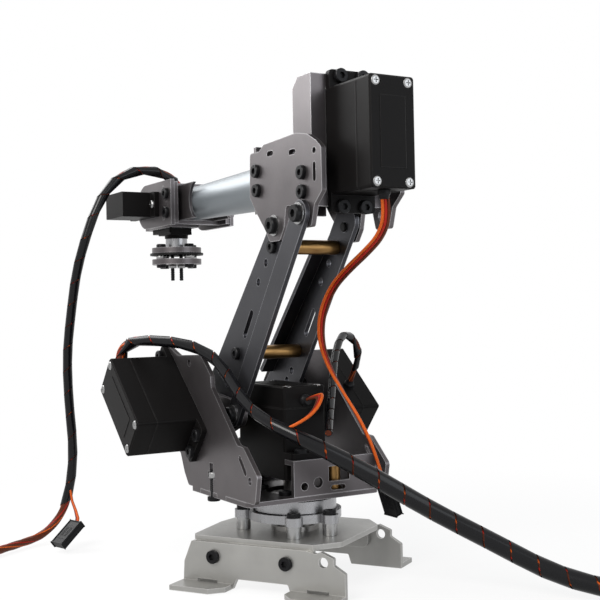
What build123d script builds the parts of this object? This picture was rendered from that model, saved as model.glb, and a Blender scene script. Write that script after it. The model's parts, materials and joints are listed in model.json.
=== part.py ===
"""A small six-axis hobby robot arm in bent sheet metal, driven by four standard and two micro servos.

Millimetres, +Z up. The origin is the turntable axis where it meets the table. The forearm points
along +X, and +Y is the arm's left.
"""
from build123d import *
from math import atan2, cos, degrees, hypot, pi, radians, sin, tan
import os

# Joint axes
shoulder_x, shoulder_z = 37.0, 64.7
elbow_x, elbow_z = -21.0, 144.5
crank_dx, crank_dz = -23.0, 2.8
forearm_z = 164.2
pitch_x = 119.9
spin_x = 116.0

# Sheet metal and clearances
sheet = 2.0
thin_sheet = 1.5
slide_gap = 0.3
layer_gap = 0.6
pin_gap = 0.05
hole_gap = 0.2

# Standard servo
servo_long, servo_wide, servo_deep = 40.7, 19.7, 38.0
servo_cover_deep = 9.0
servo_shaft_offset = 10.2
servo_lug_long, servo_lug_drop, servo_lug_thick = 54.0, 8.8, 2.5
servo_hole_long, servo_hole_wide = 49.5, 10.0
servo_screw_long, servo_screw_wide = 36.0, 14.1
servo_boss_radius, servo_boss_high = 6.5, 1.2
spline_radius, spline_high = 3.0, 5.0
horn_radius, horn_thick, horn_hub_radius, horn_screw_pitch = 10.0, 2.0, 4.5, 7.0

# Micro servo
micro_long, micro_wide, micro_below = 22.8, 12.2, 14.6
micro_shaft_offset = 5.9
micro_lug_long, micro_lug_thick = 32.5, 2.5
micro_top, micro_tier_high, micro_boss_high = 4.3, 1.1, 1.7
micro_tier_long, micro_boss_radius = 15.0, 5.9
micro_spline_radius, micro_spline_high = 2.4, 2.2
micro_hole_long = 27.8

# Fasteners
screw_radius, head_radius, head_high = 1.5, 2.75, 1.7
nut_radius, nut_high = 3.1, 2.3
small_radius, small_head_radius, small_head_high = 1.0, 1.9, 1.3
pivot_radius, pivot_head_radius, pivot_head_high, washer_radius, washer_thick = 2.0, 3.4, 2.2, 4.2, 0.6
standoff_radius = 3.0

# Base
base_yaw = 32.7
leg_half = 29.5
foot_out = 10.5
foot_thick = 2.0
base_top_z = 20.0
flange_drop = 10.0
base_screw_z = 12.3
base_screw_near, base_screw_far = 22.0, -11.0

# Turntable bearing
ring_radius, ring_bore, ring_bottom_z, ring_thick = 19.5, 11.0, 25.0, 3.4
lug_pitch_radius, lug_radius = 21.5, 3.6
ball_radius, ball_pitch_radius, ball_count = 1.2, 15.5, 8
drum_radius = 17.5
plate_z = 34.0

# Shoulder and arm layers, measured from the middle plane
arm_half = 14.0
servo_face_y = 22.2
servo_tilt = 40.5
arm_front, arm_rear = 8.0, 6.5
arm_flange_deep = 6.0
link_width = 10.0

# Forearm
roll_face_x = -38.4
tube_radius, tube_tip_radius, tube_bore = 9.9, 8.2, 6.8
tube_flange_thick = 2.4
tube_taper_x, tube_end_x = 2.0, 90.0
fork_half = 16.7
fork_front_x, fork_rear_x = 126.0, 84.0
fork_bottom_z, fork_top_z = 153.0, 175.0
fork_screw_x = 89.0
cage_plate_z = 153.6
cage_thick = 2.1

# Tool flange
hub_radius = 5.5
disc_radius, black_disc_radius = 12.5, 13.5
upper_disc_z, upper_disc_thick = 141.0, 2.8
black_disc_thick = 1.1
lower_disc_z, lower_disc_thick = 135.2, 2.8
rim_bolt_pitch, rim_bolt_count = 10.0, 4
stud_spread, stud_bottom_z = 2.4, 127.0

# Cords
wrist_cord_radius, main_cord_radius, lead_radius = 2.4, 3.8, 1.4

# Values that follow from those above
arm_out = arm_half + sheet
side_in = arm_out + layer_gap
side_out = side_in + sheet
link_in = side_out + slide_gap
link_out = link_in + sheet
shoulder_out = servo_face_y + servo_lug_drop
shoulder_in = shoulder_out - sheet
plate_top_z = plate_z + sheet
base_servo_face_z = 41.8
crank_x, crank_z = shoulder_x + crank_dx, shoulder_z + crank_dz
rear_x, rear_z = elbow_x + crank_dx, elbow_z + crank_dz
arm_length = hypot(elbow_x - shoulder_x, elbow_z - shoulder_z)
up_x, up_z = (elbow_x - shoulder_x) / arm_length, (elbow_z - shoulder_z) / arm_length
bracket_x = roll_face_x - servo_lug_drop
tube_flange_x = roll_face_x + spline_high
pitch_face_y = fork_half - micro_top
spin_face_z = cage_plate_z + cage_thick - micro_top
cage_half = micro_wide / 2 + hole_gap + thin_sheet
drum_bottom_z = ring_bottom_z + ring_thick + slide_gap
disc_top_z = upper_disc_z + upper_disc_thick


def outline(points, radius):
    """A closed outline of straight edges with rounded corners."""
    return make_face(FilletPolyline(*points, radius=radius, close=True))


def side_plate(face, y_low, y_high):
    """Extrude a drawing made in X and Z from y_low to y_high."""
    return extrude(Plane.XZ.offset(-y_high) * face, y_high - y_low)


def flat_plate(face, z_low, z_high):
    return extrude(Plane.XY.offset(z_low) * face, z_high - z_low)


def block(x_low, x_high, y_low, y_high, z_low, z_high):
    size = (x_high - x_low, y_high - y_low, z_high - z_low)
    middle = ((x_low + x_high) / 2, (y_low + y_high) / 2, (z_low + z_high) / 2)
    return Pos(*middle) * Box(*size)


def rod(start, direction, radius, length):
    """A round bar that starts at a point and runs along a direction."""
    return extrude(Plane(origin=start, z_dir=direction) * Circle(radius), length)


def screw(seat, direction, length, radius=screw_radius, wide=head_radius, high=head_high):
    """A cap screw: the head stands off the seat, and the shank runs along the direction."""
    back = tuple(-d for d in direction)
    return rod(seat, direction, radius, length) + rod(seat, back, wide, high)


def nut(seat, direction):
    blank = extrude(Plane(origin=seat, z_dir=direction) * RegularPolygon(nut_radius, 6), nut_high)
    return blank - rod(seat, direction, screw_radius, nut_high)


def group(pieces):
    return Compound(children=list(pieces))


def arm_point(along, ahead):
    """A place on the lower arm: along from the shoulder axis, ahead of the line to the elbow."""
    return (shoulder_x + along * up_x + ahead * up_z, shoulder_z + along * up_z - ahead * up_x)


# Servos
servo_lean = (cos(radians(servo_tilt)), 0, sin(radians(servo_tilt)))
horn_screws_at = [
    (
        shoulder_x + horn_screw_pitch * cos(radians(servo_tilt + a)),
        shoulder_z + horn_screw_pitch * sin(radians(servo_tilt + a)),
    )
    for a in (45, 135, 225, 315)
]
left_plane = Plane(origin=(shoulder_x, servo_face_y, shoulder_z), x_dir=servo_lean, z_dir=(0, -1, 0))
right_plane = Plane(origin=(shoulder_x, -servo_face_y, shoulder_z), x_dir=servo_lean, z_dir=(0, 1, 0))
base_plane = Plane(origin=(0, 0, base_servo_face_z), x_dir=(1, 0, 0), z_dir=(0, 0, -1))
roll_plane = Plane(origin=(roll_face_x, 0, forearm_z), x_dir=(0, 0, 1), z_dir=(1, 0, 0))
pitch_plane = Plane(origin=(pitch_x, pitch_face_y, forearm_z), x_dir=(-1, 0, 0), z_dir=(0, -1, 0))
spin_plane = Plane(origin=(spin_x, 0, spin_face_z), x_dir=(1, 0, 0), z_dir=(0, 0, -1))


def placed(plane, shape):
    return plane.location * shape


def servo_holes(plane, radius, depth_low, depth_high):
    """Rods at the four lug holes of a standard servo, in its own frame along the shaft."""
    rods = []
    for along in (-servo_hole_long / 2, servo_hole_long / 2):
        for across in (-servo_hole_wide / 2, servo_hole_wide / 2):
            middle = Pos(servo_shaft_offset + along, across, (depth_low + depth_high) / 2)
            rods.append(placed(plane, middle * Cylinder(radius, depth_high - depth_low)))
    return rods


def servo_case(plane):
    """The body of a standard servo with its lugs and the boss round the output shaft."""
    body_deep = servo_deep - servo_cover_deep
    body = Pos(servo_shaft_offset, 0, -body_deep / 2) * Box(servo_long, servo_wide, body_deep)
    body = fillet(body.edges().filter_by(Axis.Z), 1.2)
    lug_z = -servo_lug_drop - servo_lug_thick / 2
    lugs = Pos(servo_shaft_offset, 0, lug_z) * Box(servo_lug_long, servo_wide, servo_lug_thick)
    body += fillet(lugs.edges().filter_by(Axis.Z), 1.5)
    body += Pos(0, 0, servo_boss_high / 2) * Cylinder(servo_boss_radius, servo_boss_high)
    body -= Cylinder(spline_radius + pin_gap, 2 * servo_boss_high + 6)
    shape = placed(plane, body)
    lug_low, lug_high = -servo_lug_drop - servo_lug_thick, -servo_lug_drop
    for hole in servo_holes(plane, screw_radius + hole_gap, lug_low, lug_high):
        shape -= hole
    return shape


def servo_cover(plane):
    """The rear cover of a standard servo, with the recesses that its four screws sit in."""
    cover = Pos(servo_shaft_offset, 0, -servo_deep + servo_cover_deep / 2)
    cover *= Box(servo_long, servo_wide, servo_cover_deep)
    cover = fillet(cover.edges().filter_by(Axis.Z), 1.2)
    cover = chamfer(cover.faces().sort_by(Axis.Z)[0].edges(), 0.6)
    for along in (-servo_screw_long / 2, servo_screw_long / 2):
        for across in (-servo_screw_wide / 2, servo_screw_wide / 2):
            place = Pos(servo_shaft_offset + along, across, -servo_deep)
            cover -= place * Cylinder(small_head_radius + hole_gap, 1.6)
    return placed(plane, cover)


def cover_screws(plane):
    screws = []
    for along in (-servo_screw_long / 2, servo_screw_long / 2):
        for across in (-servo_screw_wide / 2, servo_screw_wide / 2):
            place = Pos(servo_shaft_offset + along, across, -servo_deep + 0.8 - 0.6)
            screws.append(placed(plane, place * Cylinder(small_head_radius, 1.2)))
    return screws


def servo_horn(plane, face_at, hub_to):
    """A round horn with its hub on the splined shaft; face_at and hub_to lie on the servo's shaft line."""
    disc = Pos(0, 0, face_at - horn_thick / 2) * Cylinder(horn_radius, horn_thick)
    hub = Pos(0, 0, (hub_to + face_at) / 2) * Cylinder(horn_hub_radius, face_at - hub_to)
    horn = disc + hub
    horn -= Pos(0, 0, (hub_to + spline_high) / 2) * Cylinder(spline_radius, spline_high - hub_to)
    for turn in range(4):
        place = Rot(0, 0, 45 + 90 * turn) * Pos(horn_screw_pitch, 0, face_at)
        horn -= place * Cylinder(small_radius, 4 * horn_thick)
    shaft = Pos(0, 0, (spline_high - 3) / 2) * Cylinder(spline_radius, spline_high + 3)
    return group([placed(plane, horn), placed(plane, shaft)])


def lug_screws(plane, plate_thick):
    """Cap screws through the four lug holes, with their heads on the lug's outer face."""
    screws = []
    head_at = -servo_lug_drop - servo_lug_thick
    for along in (-servo_hole_long / 2, servo_hole_long / 2):
        for across in (-servo_hole_wide / 2, servo_hole_wide / 2):
            place = Pos(servo_shaft_offset + along, across, head_at)
            shank = Pos(0, 0, (servo_lug_thick + plate_thick + 1) / 2)
            shank *= Cylinder(screw_radius, servo_lug_thick + plate_thick + 1)
            head = Pos(0, 0, -head_high / 2) * Cylinder(head_radius, head_high)
            screws.append(placed(plane, place * (shank + head)))
    return screws


def servo_window(plane, depth):
    """The opening that a bracket needs for a standard servo's body."""
    window = Pos(servo_shaft_offset, 0, -servo_lug_drop)
    window *= Box(servo_long + 2 * hole_gap, servo_wide + 2 * hole_gap, depth)
    return placed(plane, window)


def micro_servo(plane):
    """A micro servo: body, lugs, stepped gear case and round boss, with its origin on the case top."""
    body_deep = micro_top + micro_lug_thick + micro_below
    middle = micro_long / 2 - micro_shaft_offset
    body = Pos(middle, 0, -body_deep / 2) * Box(micro_long, micro_wide, body_deep)
    body = fillet(body.edges().filter_by(Axis.Z), 0.8)
    lug_z = -micro_top - micro_lug_thick / 2
    lugs = Pos(middle, 0, lug_z) * Box(micro_lug_long, micro_wide, micro_lug_thick)
    body += fillet(lugs.edges().filter_by(Axis.Z), 1.0)
    tier_x = micro_tier_long / 2 - micro_boss_radius
    tier_wide = 2 * micro_boss_radius
    body += Pos(tier_x, 0, micro_tier_high / 2) * Box(micro_tier_long, tier_wide, micro_tier_high)
    boss_top = micro_tier_high + micro_boss_high
    body += Pos(0, 0, boss_top / 2) * Cylinder(micro_boss_radius, boss_top)
    body -= Pos(0, 0, boss_top) * Cylinder(micro_spline_radius + pin_gap, 6)
    for along in (-micro_hole_long / 2, micro_hole_long / 2):
        body -= Pos(middle + along, 0, lug_z) * Cylinder(small_radius, 2 * micro_lug_thick)
    return placed(plane, body)


def micro_shaft(plane):
    high = micro_tier_high + micro_boss_high + micro_spline_high
    return placed(plane, Pos(0, 0, high / 2) * Cylinder(micro_spline_radius, high))


def micro_screws(plane, plate_thick):
    middle = micro_long / 2 - micro_shaft_offset
    screws = []
    for along in (-micro_hole_long / 2, micro_hole_long / 2):
        place = Pos(middle + along, 0, -micro_top - micro_lug_thick)
        deep = micro_lug_thick + plate_thick
        shank = Pos(0, 0, deep / 2) * Cylinder(small_radius, deep)
        head = Pos(0, 0, -small_head_high / 2) * Cylinder(small_head_radius, small_head_high)
        screws.append(placed(plane, place * (shank + head)))
    return screws


# Base, drawn square and then turned by base_yaw
turned = Rot(0, 0, base_yaw)
leg_points = [
    (32.4, 18), (36, 9.5), (36.6, 0), (13.5, 0), (11.5, 4.1), (-11.6, 4.1), (-12.9, 0),
    (-36.3, 0), (-36.3, 10.4), (-31.5, 13.2), (-31.6, 15.9), (-26.2, 18), (-23.8, 17.1), (-19.3, 18),
]
base_flanges = ((16.0, 28.0), (-22.0, -7.5))


def foot_plate(side):
    """One bent leg plate with its two feet turned out."""
    leg = side_plate(outline(leg_points, 0.8), leg_half - sheet, leg_half)
    leg -= side_plate(Pos(-27.1, 14.0) * Circle(2), leg_half - 2 * sheet, leg_half + sheet)
    for along in (base_screw_near, base_screw_far):
        hole = Pos(along, base_screw_z) * Circle(screw_radius + hole_gap)
        leg -= side_plate(hole, leg_half - 2 * sheet, leg_half + sheet)
    for low, high, inner in ((13.5, 36.6, 13.5), (-36.3, -12.9, -12.9)):
        foot = block(low, high, leg_half - sheet, leg_half + foot_out, 0, foot_thick)
        corner = foot.edges().filter_by(Axis.Z).sort_by(Axis.Y)[-2:].sort_by(Axis.X)
        foot = chamfer(corner[0] if inner > 0 else corner[-1], 5)
        leg += foot
        slot = SlotOverall(9.5, 1.8)
        leg -= flat_plate(Pos((low + high) / 2, leg_half) * slot, -1, foot_thick + 1)
    if side < 0:
        leg = mirror(leg, Plane.XZ)
    return turned * leg


def base_top_plate():
    """The base's top plate, with four flanges bent down for the leg plates."""
    half = leg_half - sheet
    points = [(33, half), (-22, half), (-30, 18), (-30, -18), (-22, -half), (33, -half), (36, 0)]
    plate = flat_plate(outline(points, 3), base_top_z - sheet, base_top_z)
    for side in (-1, 1):
        for (low, high), along in zip(base_flanges, (base_screw_near, base_screw_far)):
            near, far = sorted((side * (half - sheet), side * half))
            flange = block(low, high, near, far, base_top_z - flange_drop - sheet, base_top_z)
            flange = fillet(flange.edges().filter_by(Axis.Y).sort_by(Axis.Z)[:2], 3)
            plate += flange
            hole = Pos(along, base_screw_z) * Circle(screw_radius + hole_gap)
            plate -= side_plate(hole, near - 1, far + 1)
    for angle in lug_angles:
        hole = Rot(0, 0, angle - base_yaw) * Pos(lug_pitch_radius, 0) * Circle(screw_radius)
        plate -= flat_plate(hole, base_top_z - 2 * sheet, base_top_z + 1)
    return turned * plate


def base_fasteners():
    """Screws and nuts of the leg plates, and spacer sleeves, screws and nuts under the bearing's lugs."""
    pieces = []
    for side in (-1, 1):
        for along in (base_screw_near, base_screw_far):
            seat = (along, side * leg_half, base_screw_z)
            pieces.append(turned * screw(seat, (0, -side, 0), 2 * sheet + nut_high + 1))
            inner = (along, side * (leg_half - 2 * sheet), base_screw_z)
            pieces.append(turned * nut(inner, (0, -side, 0)))
    for angle in lug_angles:
        place = Rot(0, 0, angle) * Pos(lug_pitch_radius, 0, 0)
        sleeve = Cylinder(3, ring_bottom_z - base_top_z) - Cylinder(screw_radius, ring_bottom_z)
        pieces.append(place * Pos(0, 0, (ring_bottom_z + base_top_z) / 2) * sleeve)
        top = ring_bottom_z + ring_thick
        long = top - base_top_z + sheet + nut_high + 1
        pieces.append(place * screw((0, 0, top), (0, 0, -1), long))
        pieces.append(place * nut((0, 0, base_top_z - sheet), (0, 0, -1)))
    return group(pieces)


lug_angles = (59.0, 149.0, 191.0, 329.0)


def bearing_ring():
    """The fixed ring of the turntable bearing, with lugs for its screws and a groove for the balls."""
    face = Circle(ring_radius)
    for angle in lug_angles:
        face += Rot(0, 0, angle) * Pos(lug_pitch_radius, 0) * Circle(lug_radius)
    ring = flat_plate(face, ring_bottom_z, ring_bottom_z + ring_thick)
    ring -= Pos(0, 0, ring_bottom_z) * Cylinder(ring_bore, 3 * ring_thick)
    for angle in lug_angles:
        hole = Rot(0, 0, angle) * Pos(lug_pitch_radius, 0) * Circle(screw_radius)
        ring -= flat_plate(hole, ring_bottom_z - 1, ring_bottom_z + ring_thick + 1)
    return ring - ball_groove()


def ball_groove():
    """The round groove that the balls run in, half in the ring and half in the drum."""
    return Pos(0, 0, drum_bottom_z - slide_gap / 2) * Torus(ball_pitch_radius, ball_radius + pin_gap)


def bearing_balls():
    balls = []
    for turn in range(ball_count):
        height = drum_bottom_z - slide_gap / 2
        place = Rot(0, 0, 360 / ball_count * turn) * Pos(ball_pitch_radius, 0, height)
        balls.append(place * Sphere(ball_radius))
    return group(balls)


def drive_post():
    """The column on the base that holds the base servo's horn still, so that the servo turns itself."""
    top = base_servo_face_z - spline_high - sheet - horn_thick
    post = Pos(0, 0, (base_top_z + top) / 2) * Cylinder(8, top - base_top_z)
    post += Pos(0, 0, base_top_z + 1) * Cylinder(10, 2)
    post -= Pos(0, 0, top) * Cylinder(screw_radius, 20)
    horn = servo_horn(base_plane, base_servo_face_z - top, servo_boss_high + slide_gap)
    return group([post, *horn.solids()])


# Turntable
def bearing_drum():
    """The turning half of the bearing, under the turntable plate."""
    drum = Pos(0, 0, (drum_bottom_z + plate_z) / 2) * Cylinder(drum_radius, plate_z - drum_bottom_z)
    drum = chamfer(drum.edges().filter_by(GeomType.CIRCLE).sort_by(Axis.Z)[-1], 0.6)
    drum -= Pos(0, 0, drum_bottom_z) * Cylinder(ring_bore, 20)
    return drum - ball_groove()


tab_places = (2.0, 26.0)
tab_long = 8.0


def turntable_plate():
    """The round-cornered floor of the turntable, slotted for the shoulder plates' tabs."""
    points = [
        (-18, shoulder_out), (-18, -shoulder_out), (34, -shoulder_out),
        (44, -18), (44, 18), (34, shoulder_out),
    ]
    plate = flat_plate(outline(points, 3), plate_z, plate_top_z)
    plate -= Pos(0, 0, plate_z) * Cylinder(ring_bore + 1, 3 * sheet)
    for side in (-1, 1):
        for along in tab_places:
            middle = side * (shoulder_in + shoulder_out) / 2
            slot = Rectangle(tab_long + hole_gap, sheet + hole_gap)
            plate -= flat_plate(Pos(along + tab_long / 2, middle) * slot, plate_z - 1, plate_top_z + 1)
        plate -= flat_plate(Pos(slot_nut_x, middle) * Circle(screw_radius), plate_z - 1, plate_top_z + 1)
    for x, y in hub_screw_places:
        plate -= flat_plate(Pos(x, y) * Circle(screw_radius), plate_z - 1, plate_top_z + 1)
    return plate


hub_screw_places = [(14 * cos(radians(a)), 14 * sin(radians(a))) for a in (45, 135, 225, 315)]
slot_nut_x = 15.0


def shoulder_plate(side):
    """A side plate of the turntable: window for the shoulder servo, T-slot at its foot, tabs below."""
    lean_x, lean_z = servo_lean[0], servo_lean[2]
    mid_x = shoulder_x + servo_shaft_offset * lean_x
    mid_z = shoulder_z + servo_shaft_offset * lean_z
    half_long, half_wide = servo_lug_long / 2, servo_wide / 2
    top_x, top_z = mid_x + half_long * lean_x, mid_z + half_long * lean_z
    top_rear = (top_x - half_wide * lean_z, top_z + half_wide * lean_x)
    top_front = (top_x + half_wide * lean_z, top_z - half_wide * lean_x)
    points = [
        (46.8, 92), (23.8, 92.8), (14.4, 84.7), (13.7, 79.4), (-9.1, 57.7), (-14.2, 57.4), (-25.7, 47.2),
        (-23.3, plate_top_z), (38, plate_top_z), (42, 41), (45.9, 49), (62, 58), (74, 74),
        top_front, top_rear,
    ]
    plate = side_plate(outline(points, 2), shoulder_in, shoulder_out)
    for along in tab_places:
        plate += block(along, along + tab_long, shoulder_in, shoulder_out, plate_z, plate_top_z + 1)
    cuts = [
        Pos(35.2, 89) * Circle(1.6),
        Pos(-19.5, 44.8) * Circle(1.5),
        Pos(-13.5, 50.1) * Rot(0, 0, 50) * SlotOverall(9, 2.2),
        Pos(slot_nut_x, plate_top_z + 4.5) * Rectangle(2 * screw_radius + 2 * hole_gap, 15),
        Pos(slot_nut_x, plate_top_z + 7) * Rectangle(2 * nut_radius + hole_gap, nut_high + hole_gap),
    ]
    for cut in cuts:
        plate -= side_plate(cut, shoulder_in - 1, shoulder_out + 1)
    plate -= servo_window(left_plane, 6)
    lug_face = -servo_lug_drop
    for hole in servo_holes(left_plane, screw_radius + hole_gap, lug_face - 1, lug_face + sheet + 1):
        plate -= hole
    return plate if side > 0 else mirror(plate, Plane.XZ)


rear_wall_x, front_wall_x = -18.0, 37.0
lug_seat_z = base_servo_face_z + servo_lug_drop


def servo_brackets():
    """The folded brackets under the base servo's lugs: a wide pierced one behind, a narrow one ahead."""
    wall = block(rear_wall_x, rear_wall_x + sheet, -shoulder_in, 10.4, plate_top_z, lug_seat_z)
    cuts = [
        Pos(5.5, 40) * Circle(1.6),
        Pos(-1, 41) * Circle(2.1),
        Pos(-11, 44) * Rectangle(10, 6),
        Pos(-10.5, 38.3) * SlotOverall(7, 2),
    ]
    for cut in cuts:
        face = Plane(origin=(rear_wall_x - 1, 0, 0), x_dir=(0, 1, 0), z_dir=(1, 0, 0))
        wall -= extrude(face * cut, 2 * sheet)
    wall += block(rear_wall_x, -10.8, -8.3, 10.4, lug_seat_z - sheet, lug_seat_z)
    wall += block(rear_wall_x, rear_wall_x + 9, -shoulder_in, -15, plate_top_z, plate_top_z + thin_sheet)
    half = servo_wide / 2
    front = block(front_wall_x, front_wall_x + sheet, -half, half, plate_top_z, lug_seat_z)
    front += block(front_wall_x - 6, front_wall_x + sheet, -half, half, lug_seat_z - sheet, lug_seat_z)
    foot_x = front_wall_x - 8
    front += block(foot_x, front_wall_x + sheet, -half, half, plate_top_z, plate_top_z + thin_sheet)
    lug_face = -servo_lug_drop
    for hole in servo_holes(base_plane, screw_radius + hole_gap, lug_face - 1, lug_face + sheet + 1):
        wall -= hole
        front -= hole
    return group([wall, front])


def turntable_fasteners():
    """Every screw on the turntable, and the brass pillar seen through the rear bracket's window."""
    pillar = rod((-12.5, -11.5, plate_top_z), (0, 0, 1), standoff_radius, lug_seat_z - plate_top_z)
    pieces = [pillar - rod((-12.5, -11.5, plate_top_z - 1), (0, 0, 1), screw_radius, 6)]
    for plane in (base_plane, left_plane, right_plane):
        pieces += lug_screws(plane, sheet) + cover_screws(plane)
    for x, y in hub_screw_places:
        pieces.append(screw((x, y, plate_top_z), (0, 0, -1), sheet))
    for side in (-1, 1):
        middle = side * (shoulder_in + shoulder_out) / 2
        pieces.append(screw((slot_nut_x, middle, plate_z), (0, 0, 1), 11))
        pieces.append(Pos(slot_nut_x, middle, plate_top_z + 7) * (
            Box(2 * nut_radius, sheet, nut_high) - Cylinder(screw_radius, 2 * nut_high)))
    return group(pieces)


# Crank and link
def crank_arm():
    """The crank on the left servo's horn that drives the elbow through the link."""
    face = make_hull([*(Pos(shoulder_x, shoulder_z) * Circle(horn_radius + 0.5)).edges(),
                      *(Pos(crank_x, crank_z) * Circle(link_width / 2)).edges()])
    face -= Pos(shoulder_x, shoulder_z) * Circle(spline_radius + hole_gap)
    face -= Pos(crank_x, crank_z) * Circle(pivot_radius)
    return side_plate(face, side_in, side_out)


def left_servo_horn():
    return servo_horn(left_plane, servo_face_y - side_out, servo_boss_high + slide_gap)


def right_servo_horn():
    return servo_horn(right_plane, servo_face_y - arm_out, servo_boss_high + slide_gap)


def pivot_bolt(x, z, y_low, y_high):
    """A shouldered pivot bolt with its washer; the head stands outside y_high."""
    bolt = rod((x, y_low, z), (0, 1, 0), pivot_radius, y_high + washer_thick - y_low)
    bolt += rod((x, y_high, z), (0, 1, 0), washer_radius, washer_thick)
    return bolt + rod((x, y_high + washer_thick, z), (0, 1, 0), pivot_head_radius, pivot_head_high)


def crank_pins():
    """The bolt that carries the link, and the pin from the crank through the bush in the lower arm."""
    bolt = pivot_bolt(crank_x, crank_z, side_in, link_out + pin_gap)
    start = servo_face_y - spline_high - pin_gap
    pin = rod((shoulder_x, start, shoulder_z), (0, -1, 0), shoulder_pin_radius, start - (arm_half - 2))
    pin += rod((shoulder_x, arm_half - 2, shoulder_z), (0, -1, 0), 4, 2)
    return group([bolt, pin])


def link_bar():
    """The flat link that keeps the forearm level: a bar with rounded ends round its two pivots."""
    face = make_hull([*(Pos(crank_x, crank_z) * Circle(link_width / 2)).edges(),
                      *(Pos(rear_x, rear_z) * Circle(link_width / 2)).edges()])
    for x, z in ((crank_x, crank_z), (rear_x, rear_z)):
        face -= Pos(x, z) * Circle(pivot_radius + pin_gap)
    return side_plate(face, link_in, link_out)


# Lower arm
arm_standoffs_at = ((88.5, 0.3), (33.8, 1.7))
arm_holes_at = ((79.8, 1.8), (69.7, 2.8), (22.8, 1.5), (16.6, 2.5))
arm_slot_at = (50.0, 0.5)
arm_slot_turn = degrees(atan2(up_z, up_x))


def arm_outline():
    points = [
        (-12, -9), (-12, 8), (0, 18), (90, arm_front), (107, arm_front),
        (107, -arm_rear), (8, -arm_rear), (0, -9),
    ]
    return outline([arm_point(*p) for p in points], [5, 5, 5, 3, 5, 5, 3, 3])


def lower_arm_plate(side):
    """A side plate of the lower arm with its front edge folded inwards as a stiffening flange."""
    plate = side_plate(arm_outline(), arm_half, arm_out)
    strip = [(12, 16.67), (84, 8.67), (84, 8.67 - sheet), (12, 16.67 - sheet)]
    strip = [arm_point(*p) for p in strip]
    plate += side_plate(outline(strip, 0), arm_half - arm_flange_deep, arm_half + 1)
    cuts = [Pos(*arm_point(*place)) * Circle(1.6) for place in arm_holes_at]
    cuts += [Pos(*arm_point(*place)) * Circle(screw_radius) for place in arm_standoffs_at]
    cuts.append(Pos(*arm_point(*arm_slot_at)) * Rot(0, 0, arm_slot_turn) * SlotOverall(14, 3))
    cuts.append(Pos(elbow_x, elbow_z) * Circle(pivot_radius + pin_gap))
    bore = bush_radius if side > 0 else spline_radius + hole_gap
    cuts.append(Pos(shoulder_x, shoulder_z) * Circle(bore))
    if side < 0:
        cuts += [Pos(*place) * Circle(small_radius) for place in horn_screws_at]
    for cut in cuts:
        plate -= side_plate(cut, arm_half - 1, arm_out + 1)
    return plate if side > 0 else mirror(plate, Plane.XZ)


bush_radius = 5.0
shoulder_pin_radius = 2.5


def shoulder_bush():
    """The flanged bush in the left arm plate that rides on the crank's pin."""
    bush = rod((shoulder_x, arm_half - 1.5, shoulder_z), (0, 1, 0), bush_radius, arm_out - arm_half + 1.5)
    bush += rod((shoulder_x, arm_half - 1.5, shoulder_z), (0, 1, 0), bush_radius + 2, 1.5)
    return bush - rod((shoulder_x, arm_half - 3, shoulder_z), (0, 1, 0), shoulder_pin_radius + pin_gap, 9)


def lower_arm_fasteners():
    """The two brass pillars between the arm plates, their screws, and the horn's screws."""
    pieces = []
    for place in arm_standoffs_at:
        x, z = arm_point(*place)
        pillar = rod((x, -arm_half, z), (0, 1, 0), standoff_radius, 2 * arm_half)
        pieces.append(pillar - rod((x, -arm_half - 1, z), (0, 1, 0), screw_radius, 2 * arm_half + 2))
        for side in (-1, 1):
            pieces.append(screw((x, side * arm_out, z), (0, -side, 0), sheet + 8))
    for x, z in horn_screws_at:
        place = (x, -arm_half, z)
        pieces.append(screw(place, (0, -1, 0), sheet, small_radius, small_head_radius, small_head_high))
    return group(pieces)


# Elbow
elbow_points = [
    (-1.5, 175.3), (-9.3, 175.1), (-13.2, 177.4), (-39.1, 178.3), (-47.2, 176.8), (-53.6, 173.5),
    (-57, 170.8), (-57.1, 154.7), (-51.5, 150), (-49, 142), (-40, 142), (-37.5, 150.5), (-30.5, 151.5),
    (-28.5, 143), (-25, 138.2),
    (-17, 138.2), (-13.5, 143), (-6.5, 150.3), (-0.7, 157.3),
]
bracket_screws_at = ((-43.5, 162.8), (-43.5, 155.5))
front_screws_at = ((-7.2, 167.5), (-7.7, 159.6))
roll_bracket_top_z, roll_bracket_front_x = 200.0, -33.6
web_x = -3.2
front_bracket_low_z, front_bracket_high_z = 150.5, 178.0


def elbow_plate(side):
    """A side plate of the elbow, with lobes for the elbow pivot and the link's pivot."""
    plate = side_plate(outline(elbow_points, 1.5), side_in, side_out)
    cuts = [Pos(*place) * Circle(screw_radius) for place in bracket_screws_at + front_screws_at]
    cuts += [Pos(-18.4, 173.2) * SlotOverall(5, 2), Pos(-35.8, 171.5) * SlotOverall(5, 2)]
    cuts.append(Pos(-52.1, 170) * Circle(1.2))
    cuts += [Pos(-52, 162.2) * Rot(0, 0, 90) * SlotOverall(7.3, 2)]
    cuts += [Pos(x, z) * Circle(pivot_radius) for x, z in ((elbow_x, elbow_z), (rear_x, rear_z))]
    for cut in cuts:
        plate -= side_plate(cut, side_in - 1, side_out + 1)
    return plate if side > 0 else mirror(plate, Plane.XZ)


def elbow_front_bracket():
    """The cross plate at the elbow's front that carries the forearm's bearing."""
    web = block(web_x, web_x + sheet, -side_in, side_in, front_bracket_low_z, front_bracket_high_z)
    for side in (-1, 1):
        near, far = sorted((side * (side_in - sheet), side * side_in))
        web += block(-12, web_x + sheet, near, far, 156, 172)
        for x, z in front_screws_at:
            web -= side_plate(Pos(x, z) * Circle(screw_radius), near - 1, far + 1)
    return web - rod((web_x - 1, 0, forearm_z), (1, 0, 0), bearing_radius, 3 * sheet)


bearing_radius = 12.2
bearing_wide = 7.0


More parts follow.
